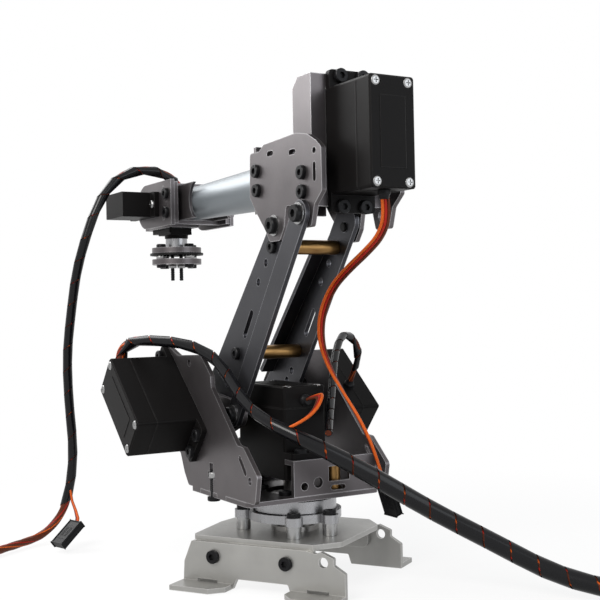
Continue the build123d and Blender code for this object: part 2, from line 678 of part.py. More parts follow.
def forearm_bearing():
    """The thin-section ball bearing that the forearm turns in, drawn as its closed ring and flange."""
    ring = rod((web_x - 3, 0, forearm_z), (1, 0, 0), bearing_radius, bearing_wide)
    ring += rod((web_x + sheet, 0, forearm_z), (1, 0, 0), bearing_radius + 1, 1)
    return ring - rod((web_x - 4, 0, forearm_z), (1, 0, 0), tube_radius + pin_gap, bearing_wide + 4)


def roll_servo_bracket():
    """The channel that stands between the elbow plates and holds the roll servo by its lugs."""
    low = 150.0
    channel = block(bracket_x, bracket_x + sheet, -side_in, side_in, low, roll_bracket_top_z)
    for side in (-1, 1):
        near, far = sorted((side * (side_in - sheet), side * side_in))
        cheek = block(bracket_x, roll_bracket_front_x, near, far, low, roll_bracket_top_z)
        cheek = chamfer(cheek.edges().filter_by(Axis.Y).group_by(Axis.X)[-1], 4)
        channel += cheek
        for x, z in bracket_screws_at:
            channel -= side_plate(Pos(x, z) * Circle(screw_radius), near - 1, far + 1)
    channel -= servo_window(roll_plane, 6)
    lug_face = -servo_lug_drop
    for hole in servo_holes(roll_plane, screw_radius + hole_gap, lug_face - 1, lug_face + sheet + 1):
        channel -= hole
    return channel


def elbow_fasteners():
    """The elbow's screws, the bolts on its axis that the lower arm hangs on, and the link's top bolt."""
    pieces = lug_screws(roll_plane, sheet) + cover_screws(roll_plane)
    for side in (-1, 1):
        for x, z in bracket_screws_at + front_screws_at:
            pieces.append(screw((x, side * side_out, z), (0, -side, 0), 2 * sheet + 1))
    left = pivot_bolt(elbow_x, elbow_z, arm_half - 1, side_out)
    rear = pivot_bolt(rear_x, rear_z, side_in, link_out + pin_gap)
    return group([*pieces, left, mirror(left, Plane.XZ), rear])


# Forearm
def forearm_tube():
    """The tapered forearm tube with the flange that the roll servo's horn is screwed to."""
    profile = [
        (tube_flange_x, 0), (tube_flange_x, tube_radius), (tube_taper_x, tube_radius),
        (tube_end_x - 6, tube_tip_radius), (tube_end_x, tube_tip_radius), (tube_end_x, tube_bore),
        (tube_flange_x + tube_flange_thick, tube_bore), (tube_flange_x + tube_flange_thick, 0),
    ]
    face = make_face(Polyline(*profile, close=True))
    tube = revolve(Plane.XZ * face, Axis.X)
    return Pos(0, 0, forearm_z) * tube


def roll_servo_horn():
    return servo_horn(roll_plane, spline_high, servo_boss_high + slide_gap)


def tube_end_bracket():
    """The U bracket that clamps the tube's front end, its cheeks hollowed at the rear."""
    high = 17.0
    cheek_in, cheek_out = tube_tip_radius + 0.2, tube_tip_radius + 0.2 + thin_sheet
    low, top = forearm_z - high / 2, forearm_z + high / 2
    web = block(tube_end_x, tube_end_x + sheet, -cheek_out, cheek_out, low, top)
    for side in (-1, 1):
        face = Pos(81, forearm_z) * Rectangle(18.1, high) - Pos(68.5, forearm_z) * Circle(9.5)
        near, far = sorted((side * cheek_in, side * cheek_out))
        web += side_plate(face, near, far)
    return web


fork_screws_at = ((fork_screw_x, 168.5), (fork_screw_x, 159.3))


def fork_web():
    """The cross plate of the wrist fork, with cheeks folded back along the fork plates."""
    web_low = tube_end_x + sheet
    inner = fork_half - sheet
    web = block(web_low, web_low + sheet, -inner, inner, fork_bottom_z + 1, fork_top_z - 1)
    for side in (-1, 1):
        near, far = sorted((side * (inner - sheet), side * inner))
        web += block(fork_rear_x + 0.5, web_low + sheet, near, far, fork_bottom_z + 1, fork_top_z - 1)
        for z in (158.0, 170.4):
            tab_near, tab_far = sorted((side * inner, side * fork_half))
            web += block(web_low, web_low + sheet, tab_near, tab_far, z - 2, z + 2)
        for x, z in fork_screws_at:
            web -= side_plate(Pos(x, z) * Circle(screw_radius), near - 1, far + 1)
    return web - rod((web_low - 1, 4, 170.0), (1, 0, 0), wrist_cord_radius + 3 * hole_gap, 4)


def fork_plate(side):
    """A side plate of the wrist fork with its round front end."""
    half_high = (fork_top_z - fork_bottom_z) / 2
    mid_z = (fork_top_z + fork_bottom_z) / 2
    face = Pos((fork_rear_x + fork_front_x - half_high) / 2, mid_z)
    face *= Rectangle(fork_front_x - half_high - fork_rear_x, 2 * half_high)
    face += Pos(fork_front_x - half_high, mid_z) * Circle(half_high)
    cuts = [Pos(*place) * Circle(screw_radius) for place in fork_screws_at]
    for z in (158.0, 170.4):
        cuts.append(Pos(tube_end_x + sheet + 1, z) * Rectangle(sheet + hole_gap, 4 + hole_gap))
    if side > 0:
        middle = pitch_x - micro_long / 2 + micro_shaft_offset
        cuts.append(Pos(middle, forearm_z) * Rectangle(micro_long + hole_gap, micro_wide + hole_gap))
        for along in (-micro_hole_long / 2, micro_hole_long / 2):
            cuts.append(Pos(middle + along, forearm_z) * Circle(small_radius))
    else:
        cuts.append(Pos(pitch_x, forearm_z) * Circle(pivot_radius))
        cuts.append(Pos(112, 157.3) * Circle(screw_radius))
    plate = side_plate(face, fork_half - sheet, fork_half)
    for cut in cuts:
        plate -= side_plate(cut, fork_half - sheet - 1, fork_half + 1)
    return plate if side > 0 else mirror(plate, Plane.XZ)


def fork_screws():
    pieces = micro_screws(pitch_plane, sheet)
    for side in (-1, 1):
        for x, z in fork_screws_at:
            pieces.append(screw((x, side * fork_half, z), (0, -side, 0), 2 * sheet + 1))
    pivot_long = fork_half - cage_half + thin_sheet
    pieces.append(screw((pitch_x, -fork_half, forearm_z), (0, 1, 0), pivot_long, pivot_radius))
    pieces.append(screw((112, -fork_half, 157.3), (0, 1, 0), 2 * sheet))
    return group(pieces)


# Wrist
cage_horn_thick = 1.6


def wrist_cage():
    """The cage round the spin servo: a floor with a window, and two cheeks up to the pitch axis."""
    middle = spin_x + micro_long / 2 - micro_shaft_offset
    half = micro_lug_long / 2
    left, right, top = middle - half, middle + half, cage_plate_z + cage_thick
    cage = block(left, right, -cage_half, cage_half, cage_plate_z, top)
    window = (micro_long + hole_gap, micro_wide + hole_gap, 3 * cage_thick)
    cage -= Pos(middle, 0, cage_plate_z) * Box(*window)
    for along in (-micro_hole_long / 2, micro_hole_long / 2):
        cage -= Pos(middle + along, 0, cage_plate_z) * Cylinder(small_radius, 3 * cage_thick)
    cheek = Pos(pitch_x, (cage_plate_z + forearm_z) / 2) * Rectangle(13, forearm_z - cage_plate_z)
    cheek += Pos(pitch_x, forearm_z) * Circle(6.5)
    for side in (-1, 1):
        near, far = sorted((side * (cage_half - thin_sheet), side * cage_half))
        bore = micro_spline_radius + hole_gap if side > 0 else pivot_radius + pin_gap
        cage += side_plate(cheek, near, far) - rod((pitch_x, near - 1, forearm_z), (0, 1, 0), bore, 4)
    return cage


def pitch_servo_horn():
    """The horn on the pitch servo's shaft, screwed to the cage's left cheek."""
    horn = rod((pitch_x, cage_half, forearm_z), (0, 1, 0), 6.3, cage_horn_thick)
    horn -= rod((pitch_x, cage_half - 1, forearm_z), (0, 1, 0), micro_spline_radius, 4)
    return group([horn, micro_shaft(pitch_plane)])


def wrist_screws():
    return group(micro_screws(spin_plane, cage_thick))


# Tool flange
def tool_hub():
    """The hub on the spin servo's shaft."""
    top = spin_face_z - micro_tier_high - micro_boss_high - slide_gap
    hub = rod((spin_x, 0, disc_top_z), (0, 0, 1), hub_radius, top - disc_top_z)
    shaft_low = spin_face_z - micro_tier_high - micro_boss_high - micro_spline_high
    hub -= rod((spin_x, 0, shaft_low), (0, 0, 1), micro_spline_radius, 9)
    return group([hub, micro_shaft(spin_plane)])


rim_angles = [15 + 360 / rim_bolt_count * k for k in range(rim_bolt_count)]


def tool_disc(radius, low, thick):
    disc = flat_plate(Circle(radius), low, low + thick)
    for angle in rim_angles:
        hole = Rot(0, 0, angle) * Pos(rim_bolt_pitch, 0) * Circle(screw_radius)
        disc -= flat_plate(hole, low - 1, low + thick + 1)
    for side in (-1, 1):
        disc -= flat_plate(Pos(0, side * stud_spread) * Circle(small_radius), low - 1, low + thick + 1)
    return Pos(spin_x, 0, 0) * disc


def tool_bolts():
    """Rim bolts with nuts between the discs, and two studs that stand out below with their nuts."""
    pieces = []
    lower_top = lower_disc_z + lower_disc_thick
    for angle in rim_angles:
        place = Pos(spin_x, 0, 0) * Rot(0, 0, angle) * Pos(rim_bolt_pitch, 0, 0)
        long = disc_top_z - lower_disc_z - 1.5
        pieces.append(place * screw((0, 0, disc_top_z), (0, 0, -1), long, wide=2.4))
        pieces.append(place * screw((0, 0, lower_disc_z), (0, 0, 1), 1.5, wide=2.4))
        spacer = Cylinder(2.6, upper_disc_z - black_disc_thick - lower_top) - Cylinder(screw_radius, 9)
        pieces.append(place * Pos(0, 0, (upper_disc_z - black_disc_thick + lower_top) / 2) * spacer)
    for side in (-1, 1):
        start = (spin_x, side * stud_spread, stud_bottom_z)
        stud = rod(start, (0, 0, 1), small_radius, disc_top_z - stud_bottom_z)
        stud += rod((spin_x, side * stud_spread, lower_disc_z - 1.8), (0, 0, 1), 2.1, 1.8)
        pieces.append(stud)
    return group(pieces)


# Cords and what is on them
def cord(points, radius):
    """A cord as straight runs with an arc at each corner, sized from the shorter run beside it."""
    vectors = [Vector(*p) for p in points]
    radii = []
    for before, here, after in zip(vectors, vectors[1:], vectors[2:]):
        turn = (here - before).get_angle(after - here)
        run = min((here - before).length, (after - here).length)
        radii.append(round(0.45 * run / tan(radians(turn / 2)), 2))
    line = FilletPolyline(*points, radius=radii)
    tube = sweep(Plane(origin=line @ 0, z_dir=line % 0) * Circle(radius), path=line)
    print("cord radii", radii, "length", round(line.length, 1))
    print("  volume / (section x length)", round(tube.volume / (line.length * pi * radius ** 2), 4))
    return tube


wrist_route = [
    (94.1, 4, 170), (99, 5, 172.5), (101, 10, 179), (103, 22, 182), (106, 36, 178), (108, 47, 166),
    (110, 54, 150), (117, 59, 132), (125, 61, 112), (129, 62, 90), (130, 61, 66), (128, 59, 44),
    (129, 60, 26), (133, 63, 12), (131, 73, 3.2), (118, 86, 2.6), (106, 101, 2.6), (100, 118, 2.6),
    (92, 132, 2.6),
]
main_route = [
    (60.5, 52, 84.8), (68.1, 52, 91.3), (64, 48, 101), (46, 42, 102), (31, 33, 101), (18, 26.5, 94),
    (5, 25.1, 83.5), (-8, 24.8, 72), (-24, 20, 65), (-36, 7, 57), (-44, -10, 46), (-54, -30, 32),
    (-70, -48, 20), (-86, -63, 9), (-103, -77, 4.2), (-119, -89, 4.2), (-129, -101, 4.2),
]
right_lead_route = [
    (34, -50, 75.2), (28, -50, 83), (23, -49.5, 93), (25, -45, 99.5), (18, -36, 99), (8, -26, 90),
    (-3, -18, 79), (-15, -9, 69), (-28, 0, 62),
]
elbow_lead_route = [
    (-70, 0, 153.7), (-69, -2, 145), (-60, -5, 138), (-46, -8, 133), (-28, -11, 127), (-14, -12, 120),
    (-5, -12, 109), (-4, -12, 97), (-11, -12, 86), (-22, -12, 76), (-32, -13, 66), (-37, -16, 54),
    (-37, -20, 42),
]
base_lead_route = [
    (-10.2, 0, 74), (-18, 0, 74.5), (-25, 4, 75.5), (-29, 11, 76), (-26.5, 17, 74.5), (-22, 20, 72.2),
]


plug_wide, plug_thick, plug_long = 8.0, 3.0, 14.0


def lead_plug(route):
    """A three-way lead connector on a cord's last point, in line with its last run."""
    end, before = Vector(*route[-1]), Vector(*route[-2])
    along = (end - before).normalized()
    level = along.cross(Vector(0, 0, 1))
    housing = chamfer(Box(plug_wide, plug_thick, plug_long).edges().filter_by(Axis.Z), 0.4)
    middle = end + along * (plug_long / 2)
    return Plane(origin=middle, x_dir=level, z_dir=along).location * housing


parts = {
    "base_top_plate": base_top_plate(),
    "left_foot_plate": foot_plate(1),
    "right_foot_plate": foot_plate(-1),
    "base_fasteners": base_fasteners(),
    "bearing_ring": bearing_ring(),
    "bearing_balls": bearing_balls(),
    "drive_post": drive_post(),
    "bearing_drum": bearing_drum(),
    "turntable_plate": turntable_plate(),
    "servo_brackets": servo_brackets(),
    "left_shoulder_plate": shoulder_plate(1),
    "right_shoulder_plate": shoulder_plate(-1),
    "turntable_fasteners": turntable_fasteners(),
    "base_servo_case": servo_case(base_plane),
    "base_servo_cover": servo_cover(base_plane),
    "left_servo_case": servo_case(left_plane),
    "left_servo_cover": servo_cover(left_plane),
    "right_servo_case": servo_case(right_plane),
    "right_servo_cover": servo_cover(right_plane),
    "crank_arm": crank_arm(),
    "left_servo_horn": left_servo_horn(),
    "crank_pins": crank_pins(),
    "link_bar": link_bar(),
    "lower_arm_left_plate": lower_arm_plate(1),
    "lower_arm_right_plate": lower_arm_plate(-1),
    "shoulder_bush": shoulder_bush(),
    "right_servo_horn": right_servo_horn(),
    "lower_arm_fasteners": lower_arm_fasteners(),
    "elbow_left_plate": elbow_plate(1),
    "elbow_right_plate": elbow_plate(-1),
    "elbow_front_bracket": elbow_front_bracket(),
    "forearm_bearing": forearm_bearing(),
    "roll_servo_bracket": roll_servo_bracket(),
    "elbow_fasteners": elbow_fasteners(),
    "roll_servo_case": servo_case(roll_plane),
    "roll_servo_cover": servo_cover(roll_plane),
    "forearm_tube": forearm_tube(),
    "roll_servo_horn": roll_servo_horn(),
    "tube_end_bracket": tube_end_bracket(),
    "fork_web": fork_web(),
    "fork_left_plate": fork_plate(1),
    "fork_right_plate": fork_plate(-1),
    "fork_screws": fork_screws(),
    "pitch_servo": micro_servo(pitch_plane),
    "wrist_cage": wrist_cage(),
    "pitch_servo_horn": pitch_servo_horn(),
    "wrist_screws": wrist_screws(),
    "spin_servo": micro_servo(spin_plane),
    "tool_hub": tool_hub(),
    "tool_upper_disc": tool_disc(disc_radius, upper_disc_z, upper_disc_thick),
    "tool_middle_disc": tool_disc(black_disc_radius, upper_disc_z - black_disc_thick, black_disc_thick),
    "tool_lower_disc": tool_disc(disc_radius, lower_disc_z, lower_disc_thick),
    "tool_bolts": tool_bolts(),
    "wrist_cord": cord(wrist_route, wrist_cord_radius),
    "wrist_plug": lead_plug(wrist_route),
    "main_cord": cord(main_route, main_cord_radius),
    "right_servo_cord": cord(right_lead_route, lead_radius),
    "elbow_cord": cord(elbow_lead_route, lead_radius),
    "base_servo_cord": cord(base_lead_route, lead_radius),
    "turntable_plugs": group([lead_plug(main_route), lead_plug(elbow_lead_route)]),
}

os.makedirs("parts", exist_ok=True)
for name, shape in parts.items():
    export_step(shape, f"parts/{name}.step")
print(len(parts), "parts")
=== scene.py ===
import json
import math

import bmesh
import bpy
from mathutils import Matrix, Vector


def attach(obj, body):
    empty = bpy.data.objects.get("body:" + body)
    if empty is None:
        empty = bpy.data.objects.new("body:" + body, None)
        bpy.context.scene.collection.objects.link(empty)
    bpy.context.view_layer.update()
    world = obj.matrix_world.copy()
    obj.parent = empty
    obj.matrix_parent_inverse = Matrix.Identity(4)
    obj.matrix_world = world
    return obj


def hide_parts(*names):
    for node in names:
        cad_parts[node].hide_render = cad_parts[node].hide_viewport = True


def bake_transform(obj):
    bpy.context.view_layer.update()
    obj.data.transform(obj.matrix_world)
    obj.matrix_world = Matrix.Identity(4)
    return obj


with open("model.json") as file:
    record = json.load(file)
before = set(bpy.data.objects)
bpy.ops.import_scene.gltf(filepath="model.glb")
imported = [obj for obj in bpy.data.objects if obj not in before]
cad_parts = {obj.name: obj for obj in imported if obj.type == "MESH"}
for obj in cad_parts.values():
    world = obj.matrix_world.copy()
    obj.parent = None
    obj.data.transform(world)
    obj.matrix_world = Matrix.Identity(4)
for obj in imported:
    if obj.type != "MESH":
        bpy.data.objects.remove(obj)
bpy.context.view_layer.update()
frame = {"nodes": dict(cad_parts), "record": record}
nodes = frame["nodes"]
mm = 0.001
print("frame loaded")


# Small helpers
# A place given in millimetres, as a vector in metres
def point(values):
    return Vector(values) * mm


def newObject(name, data):
    piece = bpy.data.objects.new(name, data)
    bpy.context.scene.collection.objects.link(piece)
    return piece


# The mesh that an object has once its curve or modifiers are worked out
def evaluatedMesh(piece):
    return bpy.data.meshes.new_from_object(piece.evaluated_get(bpy.context.evaluated_depsgraph_get()))


# A mesh made by a function that fills a bmesh, with vertices nearer than join made one
def builtMesh(name, build, join):
    mesh = bpy.data.meshes.new(name)
    bm = bmesh.new()
    build(bm)
    bmesh.ops.remove_doubles(bm, verts=bm.verts, dist=join)
    bmesh.ops.recalc_face_normals(bm, faces=bm.faces)
    bm.to_mesh(mesh)
    bm.free()
    return mesh


def shadeSmooth(mesh, angle):
    for polygon in mesh.polygons:
        polygon.use_smooth = True
    mesh.set_sharp_from_angle(angle=math.radians(angle))


# A mesh piece, which rides on a body if one is named
def meshPiece(name, body, material, build, smooth=40):
    mesh = builtMesh(name, build, 1e-7)
    piece = newObject(name, mesh)
    for item in material if isinstance(material, list) else [material]:
        mesh.materials.append(item)
    shadeSmooth(mesh, smooth)
    if body:
        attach(piece, body)
    return piece


# The rotation that takes +Z to a direction, with local X kept level with another
def turnTo(direction, about=(0, 0, 1)):
    z = Vector(direction).normalized()
    x = Vector(about).cross(z)
    if x.length < 1e-4:
        x = Vector((1, 0, 0))
    x.normalize()
    y = z.cross(x)
    return Matrix((x, y, z)).transposed().to_4x4()


# Points evenly round a circle
def circle(radius, sides):
    angles = [2 * math.pi * k / sides for k in range(sides)]
    return [(radius * math.cos(a), radius * math.sin(a)) for a in angles]


# Faces between each ring of vertices and the next
def bridge(bm, rings, material=0):
    for low, high in zip(rings, rings[1:]):
        for k in range(len(low)):
            n = (k + 1) % len(low)
            bm.faces.new((low[k], low[n], high[n], high[k])).material_index = material


def capEnds(bm, rings, material=0):
    for ring in (rings[0], rings[-1]):
        bm.faces.new(ring).material_index = material


# Turns a list of (radius, height) pairs round local Z, with a fan where the radius is nought
def lathe(bm, profile, matrix, segments=24):
    rings = []
    for radius, height in profile:
        places = [(0, 0)] if radius < 1e-9 else circle(radius, segments)
        rings.append([bm.verts.new(matrix @ Vector((x, y, height))) for x, y in places])
    for low, high in zip(rings, rings[1:]):
        for k in range(segments):
            n = (k + 1) % segments
            corners = [low[k % len(low)], low[n % len(low)], high[n % len(high)], high[k % len(high)]]
            unique = list(dict.fromkeys(corners))
            if len(unique) > 2:
                bm.faces.new(unique)


def boxInto(bm, low, high, matrix=Matrix(), bevel=0.0):
    result = bmesh.ops.create_cube(bm, size=1)
    middle = (Vector(low) + Vector(high)) / 2
    size = Vector(high) - Vector(low)
    for vert in result["verts"]:
        place = Vector((vert.co.x * size.x, vert.co.y * size.y, vert.co.z * size.z))
        vert.co = matrix @ (place + middle)
    if bevel:
        edges = list({e for v in result["verts"] for e in v.link_edges})
        bmesh.ops.bevel(bm, geom=edges, offset=bevel, segments=2, affect="EDGES")


# Materials
def newMaterial(name, colour, roughness, metallic=0.0):
    material = bpy.data.materials.new(name)
    material.use_nodes = True
    tree = material.node_tree
    shader = tree.nodes["Principled BSDF"]
    shader.inputs["Base Color"].default_value = (*colour, 1)
    shader.inputs["Roughness"].default_value = roughness
    shader.inputs["Metallic"].default_value = metallic
    shader.inputs["Specular IOR Level"].default_value = 0.5 if metallic > 0.4 else 0.10
    return material, tree, shader


# A shared node group: noise on object coordinates that varies roughness, tone and height
def surfaceGroup(name, scale, stretch, detail):
    group = bpy.data.node_groups.new(name, "ShaderNodeTree")
    for socket in ("Roughness", "Tone", "Height"):
        group.interface.new_socket(name=socket, in_out="OUTPUT", socket_type="NodeSocketFloat")
    for socket, value in (("Base roughness", 0.4), ("Spread", 0.1)):
        entry = group.interface.new_socket(name=socket, in_out="INPUT", socket_type="NodeSocketFloat")
        entry.default_value = value
    links = group.links
    groupIn = group.nodes.new("NodeGroupInput")
    groupOut = group.nodes.new("NodeGroupOutput")
    coordinates = group.nodes.new("ShaderNodeTexCoord")
    mapping = group.nodes.new("ShaderNodeMapping")
    mapping.inputs["Scale"].default_value = stretch
    fine = group.nodes.new("ShaderNodeTexNoise")
    fine.inputs["Scale"].default_value = scale
    fine.inputs["Detail"].default_value = detail
    broad = group.nodes.new("ShaderNodeTexNoise")
    broad.inputs["Scale"].default_value = 60
    broad.inputs["Detail"].default_value = 3
    links.new(coordinates.outputs["Object"], mapping.inputs["Vector"])
    links.new(mapping.outputs["Vector"], fine.inputs["Vector"])
    links.new(coordinates.outputs["Object"], broad.inputs["Vector"])
    centred = group.nodes.new("ShaderNodeMath")
    centred.operation = "SUBTRACT"
    centred.inputs[1].default_value = 0.5
    links.new(fine.outputs["Fac"], centred.inputs[0])
    spreadOut = group.nodes.new("ShaderNodeMath")
    spreadOut.operation = "MULTIPLY_ADD"
    links.new(centred.outputs[0], spreadOut.inputs[0])
    links.new(groupIn.outputs["Spread"], spreadOut.inputs[1])
    links.new(groupIn.outputs["Base roughness"], spreadOut.inputs[2])
    links.new(spreadOut.outputs[0], groupOut.inputs["Roughness"])
    links.new(broad.outputs["Fac"], groupOut.inputs["Tone"])
    links.new(fine.outputs["Fac"], groupOut.inputs["Height"])
    return group


surfaceGroups = {
    "brushed": surfaceGroup("Brushed surface", 900, (1, 1, 0.15), 4),
    "moulded": surfaceGroup("Moulded surface", 2600, (1, 1, 1), 2),
    "anodised": surfaceGroup("Anodised surface", 1800, (1, 1, 1), 3),
}


# A shared node group: a mask that is 1 on sharp outer edges, where the colour is painted lighter: partly wear
# to bare metal, partly a painted highlight along the edge
def edgeGroup():
    group = bpy.data.node_groups.new("Worn edges", "ShaderNodeTree")
    group.interface.new_socket(name="Edge", in_out="OUTPUT", socket_type="NodeSocketFloat")
    width = group.interface.new_socket(name="Width", in_out="INPUT", socket_type="NodeSocketFloat")
    width.default_value = 0.0005
    links = group.links
    groupIn = group.nodes.new("NodeGroupInput")
    groupOut = group.nodes.new("NodeGroupOutput")
    rounded = group.nodes.new("ShaderNodeBevel")
    rounded.samples = 6
    plain = group.nodes.new("ShaderNodeNewGeometry")
    agree = group.nodes.new("ShaderNodeVectorMath")
    agree.operation = "DOT_PRODUCT"
    spread = group.nodes.new("ShaderNodeMapRange")
    for socket, value in (("From Min", 0.98), ("From Max", 0.72), ("To Min", 0.0), ("To Max", 1.0)):
        spread.inputs[socket].default_value = value
    links.new(groupIn.outputs["Width"], rounded.inputs["Radius"])
    links.new(rounded.outputs["Normal"], agree.inputs[0])
    links.new(plain.outputs["Normal"], agree.inputs[1])
    links.new(agree.outputs["Value"], spread.inputs["Value"])
    links.new(spread.outputs["Result"], groupOut.inputs["Edge"])
    return group


edgeWearAndHighlight = edgeGroup()


mixFirst, mixSecond, mixResult = 6, 7, 2  # a Mix node's colour sockets, by place, since names repeat
reliefDistance = 0.00005


# A material whose tone, roughness and relief come from one of the shared surface groups
def finishedMaterial(name, settings):
    plain = [settings[key] for key in ("colour", "roughness", "metallic")]
    material, tree, shader = newMaterial(name, *plain)
    links = tree.links
    surface = tree.nodes.new("ShaderNodeGroup")
    surface.node_tree = surfaceGroups[settings["surface"]]
    surface.inputs["Base roughness"].default_value = settings["roughness"]
    surface.inputs["Spread"].default_value = settings["spread"]
    links.new(surface.outputs["Roughness"], shader.inputs["Roughness"])
    tone = tree.nodes.new("ShaderNodeMix")
    tone.data_type = "RGBA"
    dark = [c * settings["darker"] for c in settings["colour"]]
    tone.inputs[mixFirst].default_value = (*dark, 1)
    tone.inputs[mixSecond].default_value = (*settings["colour"], 1)
    links.new(surface.outputs["Tone"], tone.inputs[0])
    links.new(tone.outputs[mixResult], shader.inputs["Base Color"])
    # The edge colour mixed in here is lighter than the finish: on the metal sheets partly wear to bare metal
    # and partly a painted highlight, on the servo plastic a painted highlight only
    if "edge" in settings:
        edge = tree.nodes.new("ShaderNodeGroup")
        edge.node_tree = edgeWearAndHighlight
        edge.inputs["Width"].default_value = settings["edgeWidth"]
        wearAndHighlightMix = tree.nodes.new("ShaderNodeMix")
        wearAndHighlightMix.data_type = "RGBA"
        wearAndHighlightMix.inputs[mixSecond].default_value = (*settings["edge"], 1)
        links.new(edge.outputs["Edge"], wearAndHighlightMix.inputs[0])
        links.new(tone.outputs[mixResult], wearAndHighlightMix.inputs[mixFirst])
        links.new(wearAndHighlightMix.outputs[mixResult], shader.inputs["Base Color"])
    if "shine" in settings:
        shader.inputs["Specular IOR Level"].default_value = settings["shine"]
    relief = tree.nodes.new("ShaderNodeBump")
    relief.inputs["Strength"].default_value = settings["relief"]
    relief.inputs["Distance"].default_value = reliefDistance
    links.new(surface.outputs["Height"], relief.inputs["Height"])
    links.new(relief.outputs["Normal"], shader.inputs["Normal"])
    return material


materialSettings = {
    # On the three sheets the lighter edge colour is partly wear to bare metal and partly a painted highlight
    # along the edges
    "greySheet": dict(colour=(0.122, 0.111, 0.115), roughness=0.38, metallic=0.85,
                      surface="anodised", spread=0.14,
                      darker=0.52, relief=0.35, edge=(0.40, 0.39, 0.40), edgeWidth=0.0007),
    "darkSheet": dict(colour=(0.054, 0.054, 0.061), roughness=0.40, metallic=0.85,
                      surface="anodised", spread=0.14,
                      darker=0.52, relief=0.35, edge=(0.30, 0.30, 0.32), edgeWidth=0.0007),
    "silverSheet": dict(colour=(0.36, 0.355, 0.34), roughness=0.36, metallic=0.75,
                        surface="brushed", spread=0.16,
                        darker=0.68, relief=0.4, edge=(0.55, 0.54, 0.53), edgeWidth=0.0006),
    "tube": dict(colour=(0.165, 0.185, 0.20), roughness=0.4, metallic=0.6,
                 surface="anodised", spread=0.1,
                 darker=0.88, relief=0.2),
    "bearing": dict(colour=(0.33, 0.33, 0.34), roughness=0.28, metallic=0.9,
                    surface="brushed", spread=0.12,
                    darker=0.8, relief=0.25),
    "horn": dict(colour=(0.36, 0.35, 0.34), roughness=0.3, metallic=0.9, surface="brushed", spread=0.12,
                 darker=0.85, relief=0.25),
    "steel": dict(colour=(0.34, 0.34, 0.34), roughness=0.25, metallic=0.95,
                  surface="brushed", spread=0.1,
                  darker=0.8, relief=0.15),
    "blackSteel": dict(colour=(0.012, 0.012, 0.013), roughness=0.36, metallic=0.3,
                       surface="anodised", spread=0.12,
                       darker=0.7, relief=0.2),
    "brass": dict(colour=(0.27, 0.155, 0.055), roughness=0.33, metallic=0.9,
                  surface="brushed", spread=0.12,
                  darker=0.75, relief=0.25),
    # The servo plastic's lighter edge colour is a painted highlight along its bevels and chamfers
    "servo": dict(colour=(0.006, 0.0055, 0.0055), roughness=0.42, metallic=0.0,
                  surface="moulded", spread=0.16,
                  darker=0.75, relief=0.5, edge=(0.030, 0.029, 0.029), edgeWidth=0.0004, shine=0.05),
    "blackPlate": dict(colour=(0.012, 0.012, 0.012), roughness=0.5, metallic=0.1,
                       surface="moulded", spread=0.1,
                       darker=0.7, relief=0.3),
    "wrap": dict(colour=(0.004, 0.004, 0.005), roughness=0.2, metallic=0.0,
                 surface="moulded", spread=0.1,
                 darker=0.7, relief=0.2, shine=0.22),
    "wireRed": dict(colour=(0.34, 0.017, 0.010), roughness=0.42, metallic=0.0,
                    surface="moulded", spread=0.1,
                    darker=0.8, relief=0.15),
    "wireOrange": dict(colour=(0.55, 0.095, 0.012), roughness=0.42, metallic=0.0,
                       surface="moulded", spread=0.1,
                       darker=0.8, relief=0.15),
    "wireBrown": dict(colour=(0.10, 0.025, 0.012), roughness=0.42, metallic=0.0,
                      surface="moulded", spread=0.1,
                      darker=0.8, relief=0.15),
    "plug": dict(colour=(0.010, 0.010, 0.011), roughness=0.4, metallic=0.0,
                 surface="moulded", spread=0.12,
                 darker=0.75, relief=0.25),
}
materials = {name: finishedMaterial(name, settings) for name, settings in materialSettings.items()}
leadColours = [materials[name] for name in ("wireOrange", "wireRed", "wireBrown")]
slotMaterials = {
    "silver_sheet": "silverSheet", "grey_sheet": "greySheet", "grey_tube": "tube", "black_screw": "blackSteel",
    "bearing_steel": "bearing", "horn_aluminium": "horn", "brass": "brass", "servo_plastic": "servo",
    "black_plate": "blackPlate", "wire_wrap": "wrap", "lead_wire": "wireBrown", "plug_plastic": "plug",
}
nodeMaterials = {
    "lower_arm_left_plate": "darkSheet", "lower_arm_right_plate": "darkSheet", "link_bar": "darkSheet",
    "roll_servo_bracket": "greySheet", "tool_upper_disc": "greySheet", "tool_lower_disc": "greySheet",
    "tool_hub": "bearing",
}
for part in frame["record"]["subparts"]:
    cad = nodes[part["node"]]
    cad.data.materials.clear()
    finish = nodeMaterials.get(part["node"], slotMaterials[part["material_slot"]])
    cad.data.materials.append(materials[finish])
print("materials made")


# Camera
view = dict(place=(-391.9, 224.9, 111.8), turn=-0.529864, rise=0.007391, roll=-0.020541, lens=64.678)


def makeCamera():
    turn, rise, roll = view["turn"], view["rise"], view["roll"]
    forward = Vector((math.cos(turn) * math.cos(rise), math.sin(turn) * math.cos(rise), math.sin(rise)))
    level = Vector((math.sin(turn), -math.cos(turn), 0))
    upright = level.cross(forward)
    right = level * math.cos(roll) + upright * math.sin(roll)
    up = -level * math.sin(roll) + upright * math.cos(roll)
    camera = newObject("camera", bpy.data.cameras.new("camera"))
    facing = Matrix((right, up, -forward)).transposed().to_4x4()
    camera.matrix_world = Matrix.Translation(point(view["place"])) @ facing
    camera.data.lens = view["lens"]
    camera.data.sensor_width = 36
    camera.data.clip_start = 0.01
    bpy.context.scene.camera = camera


makeCamera()

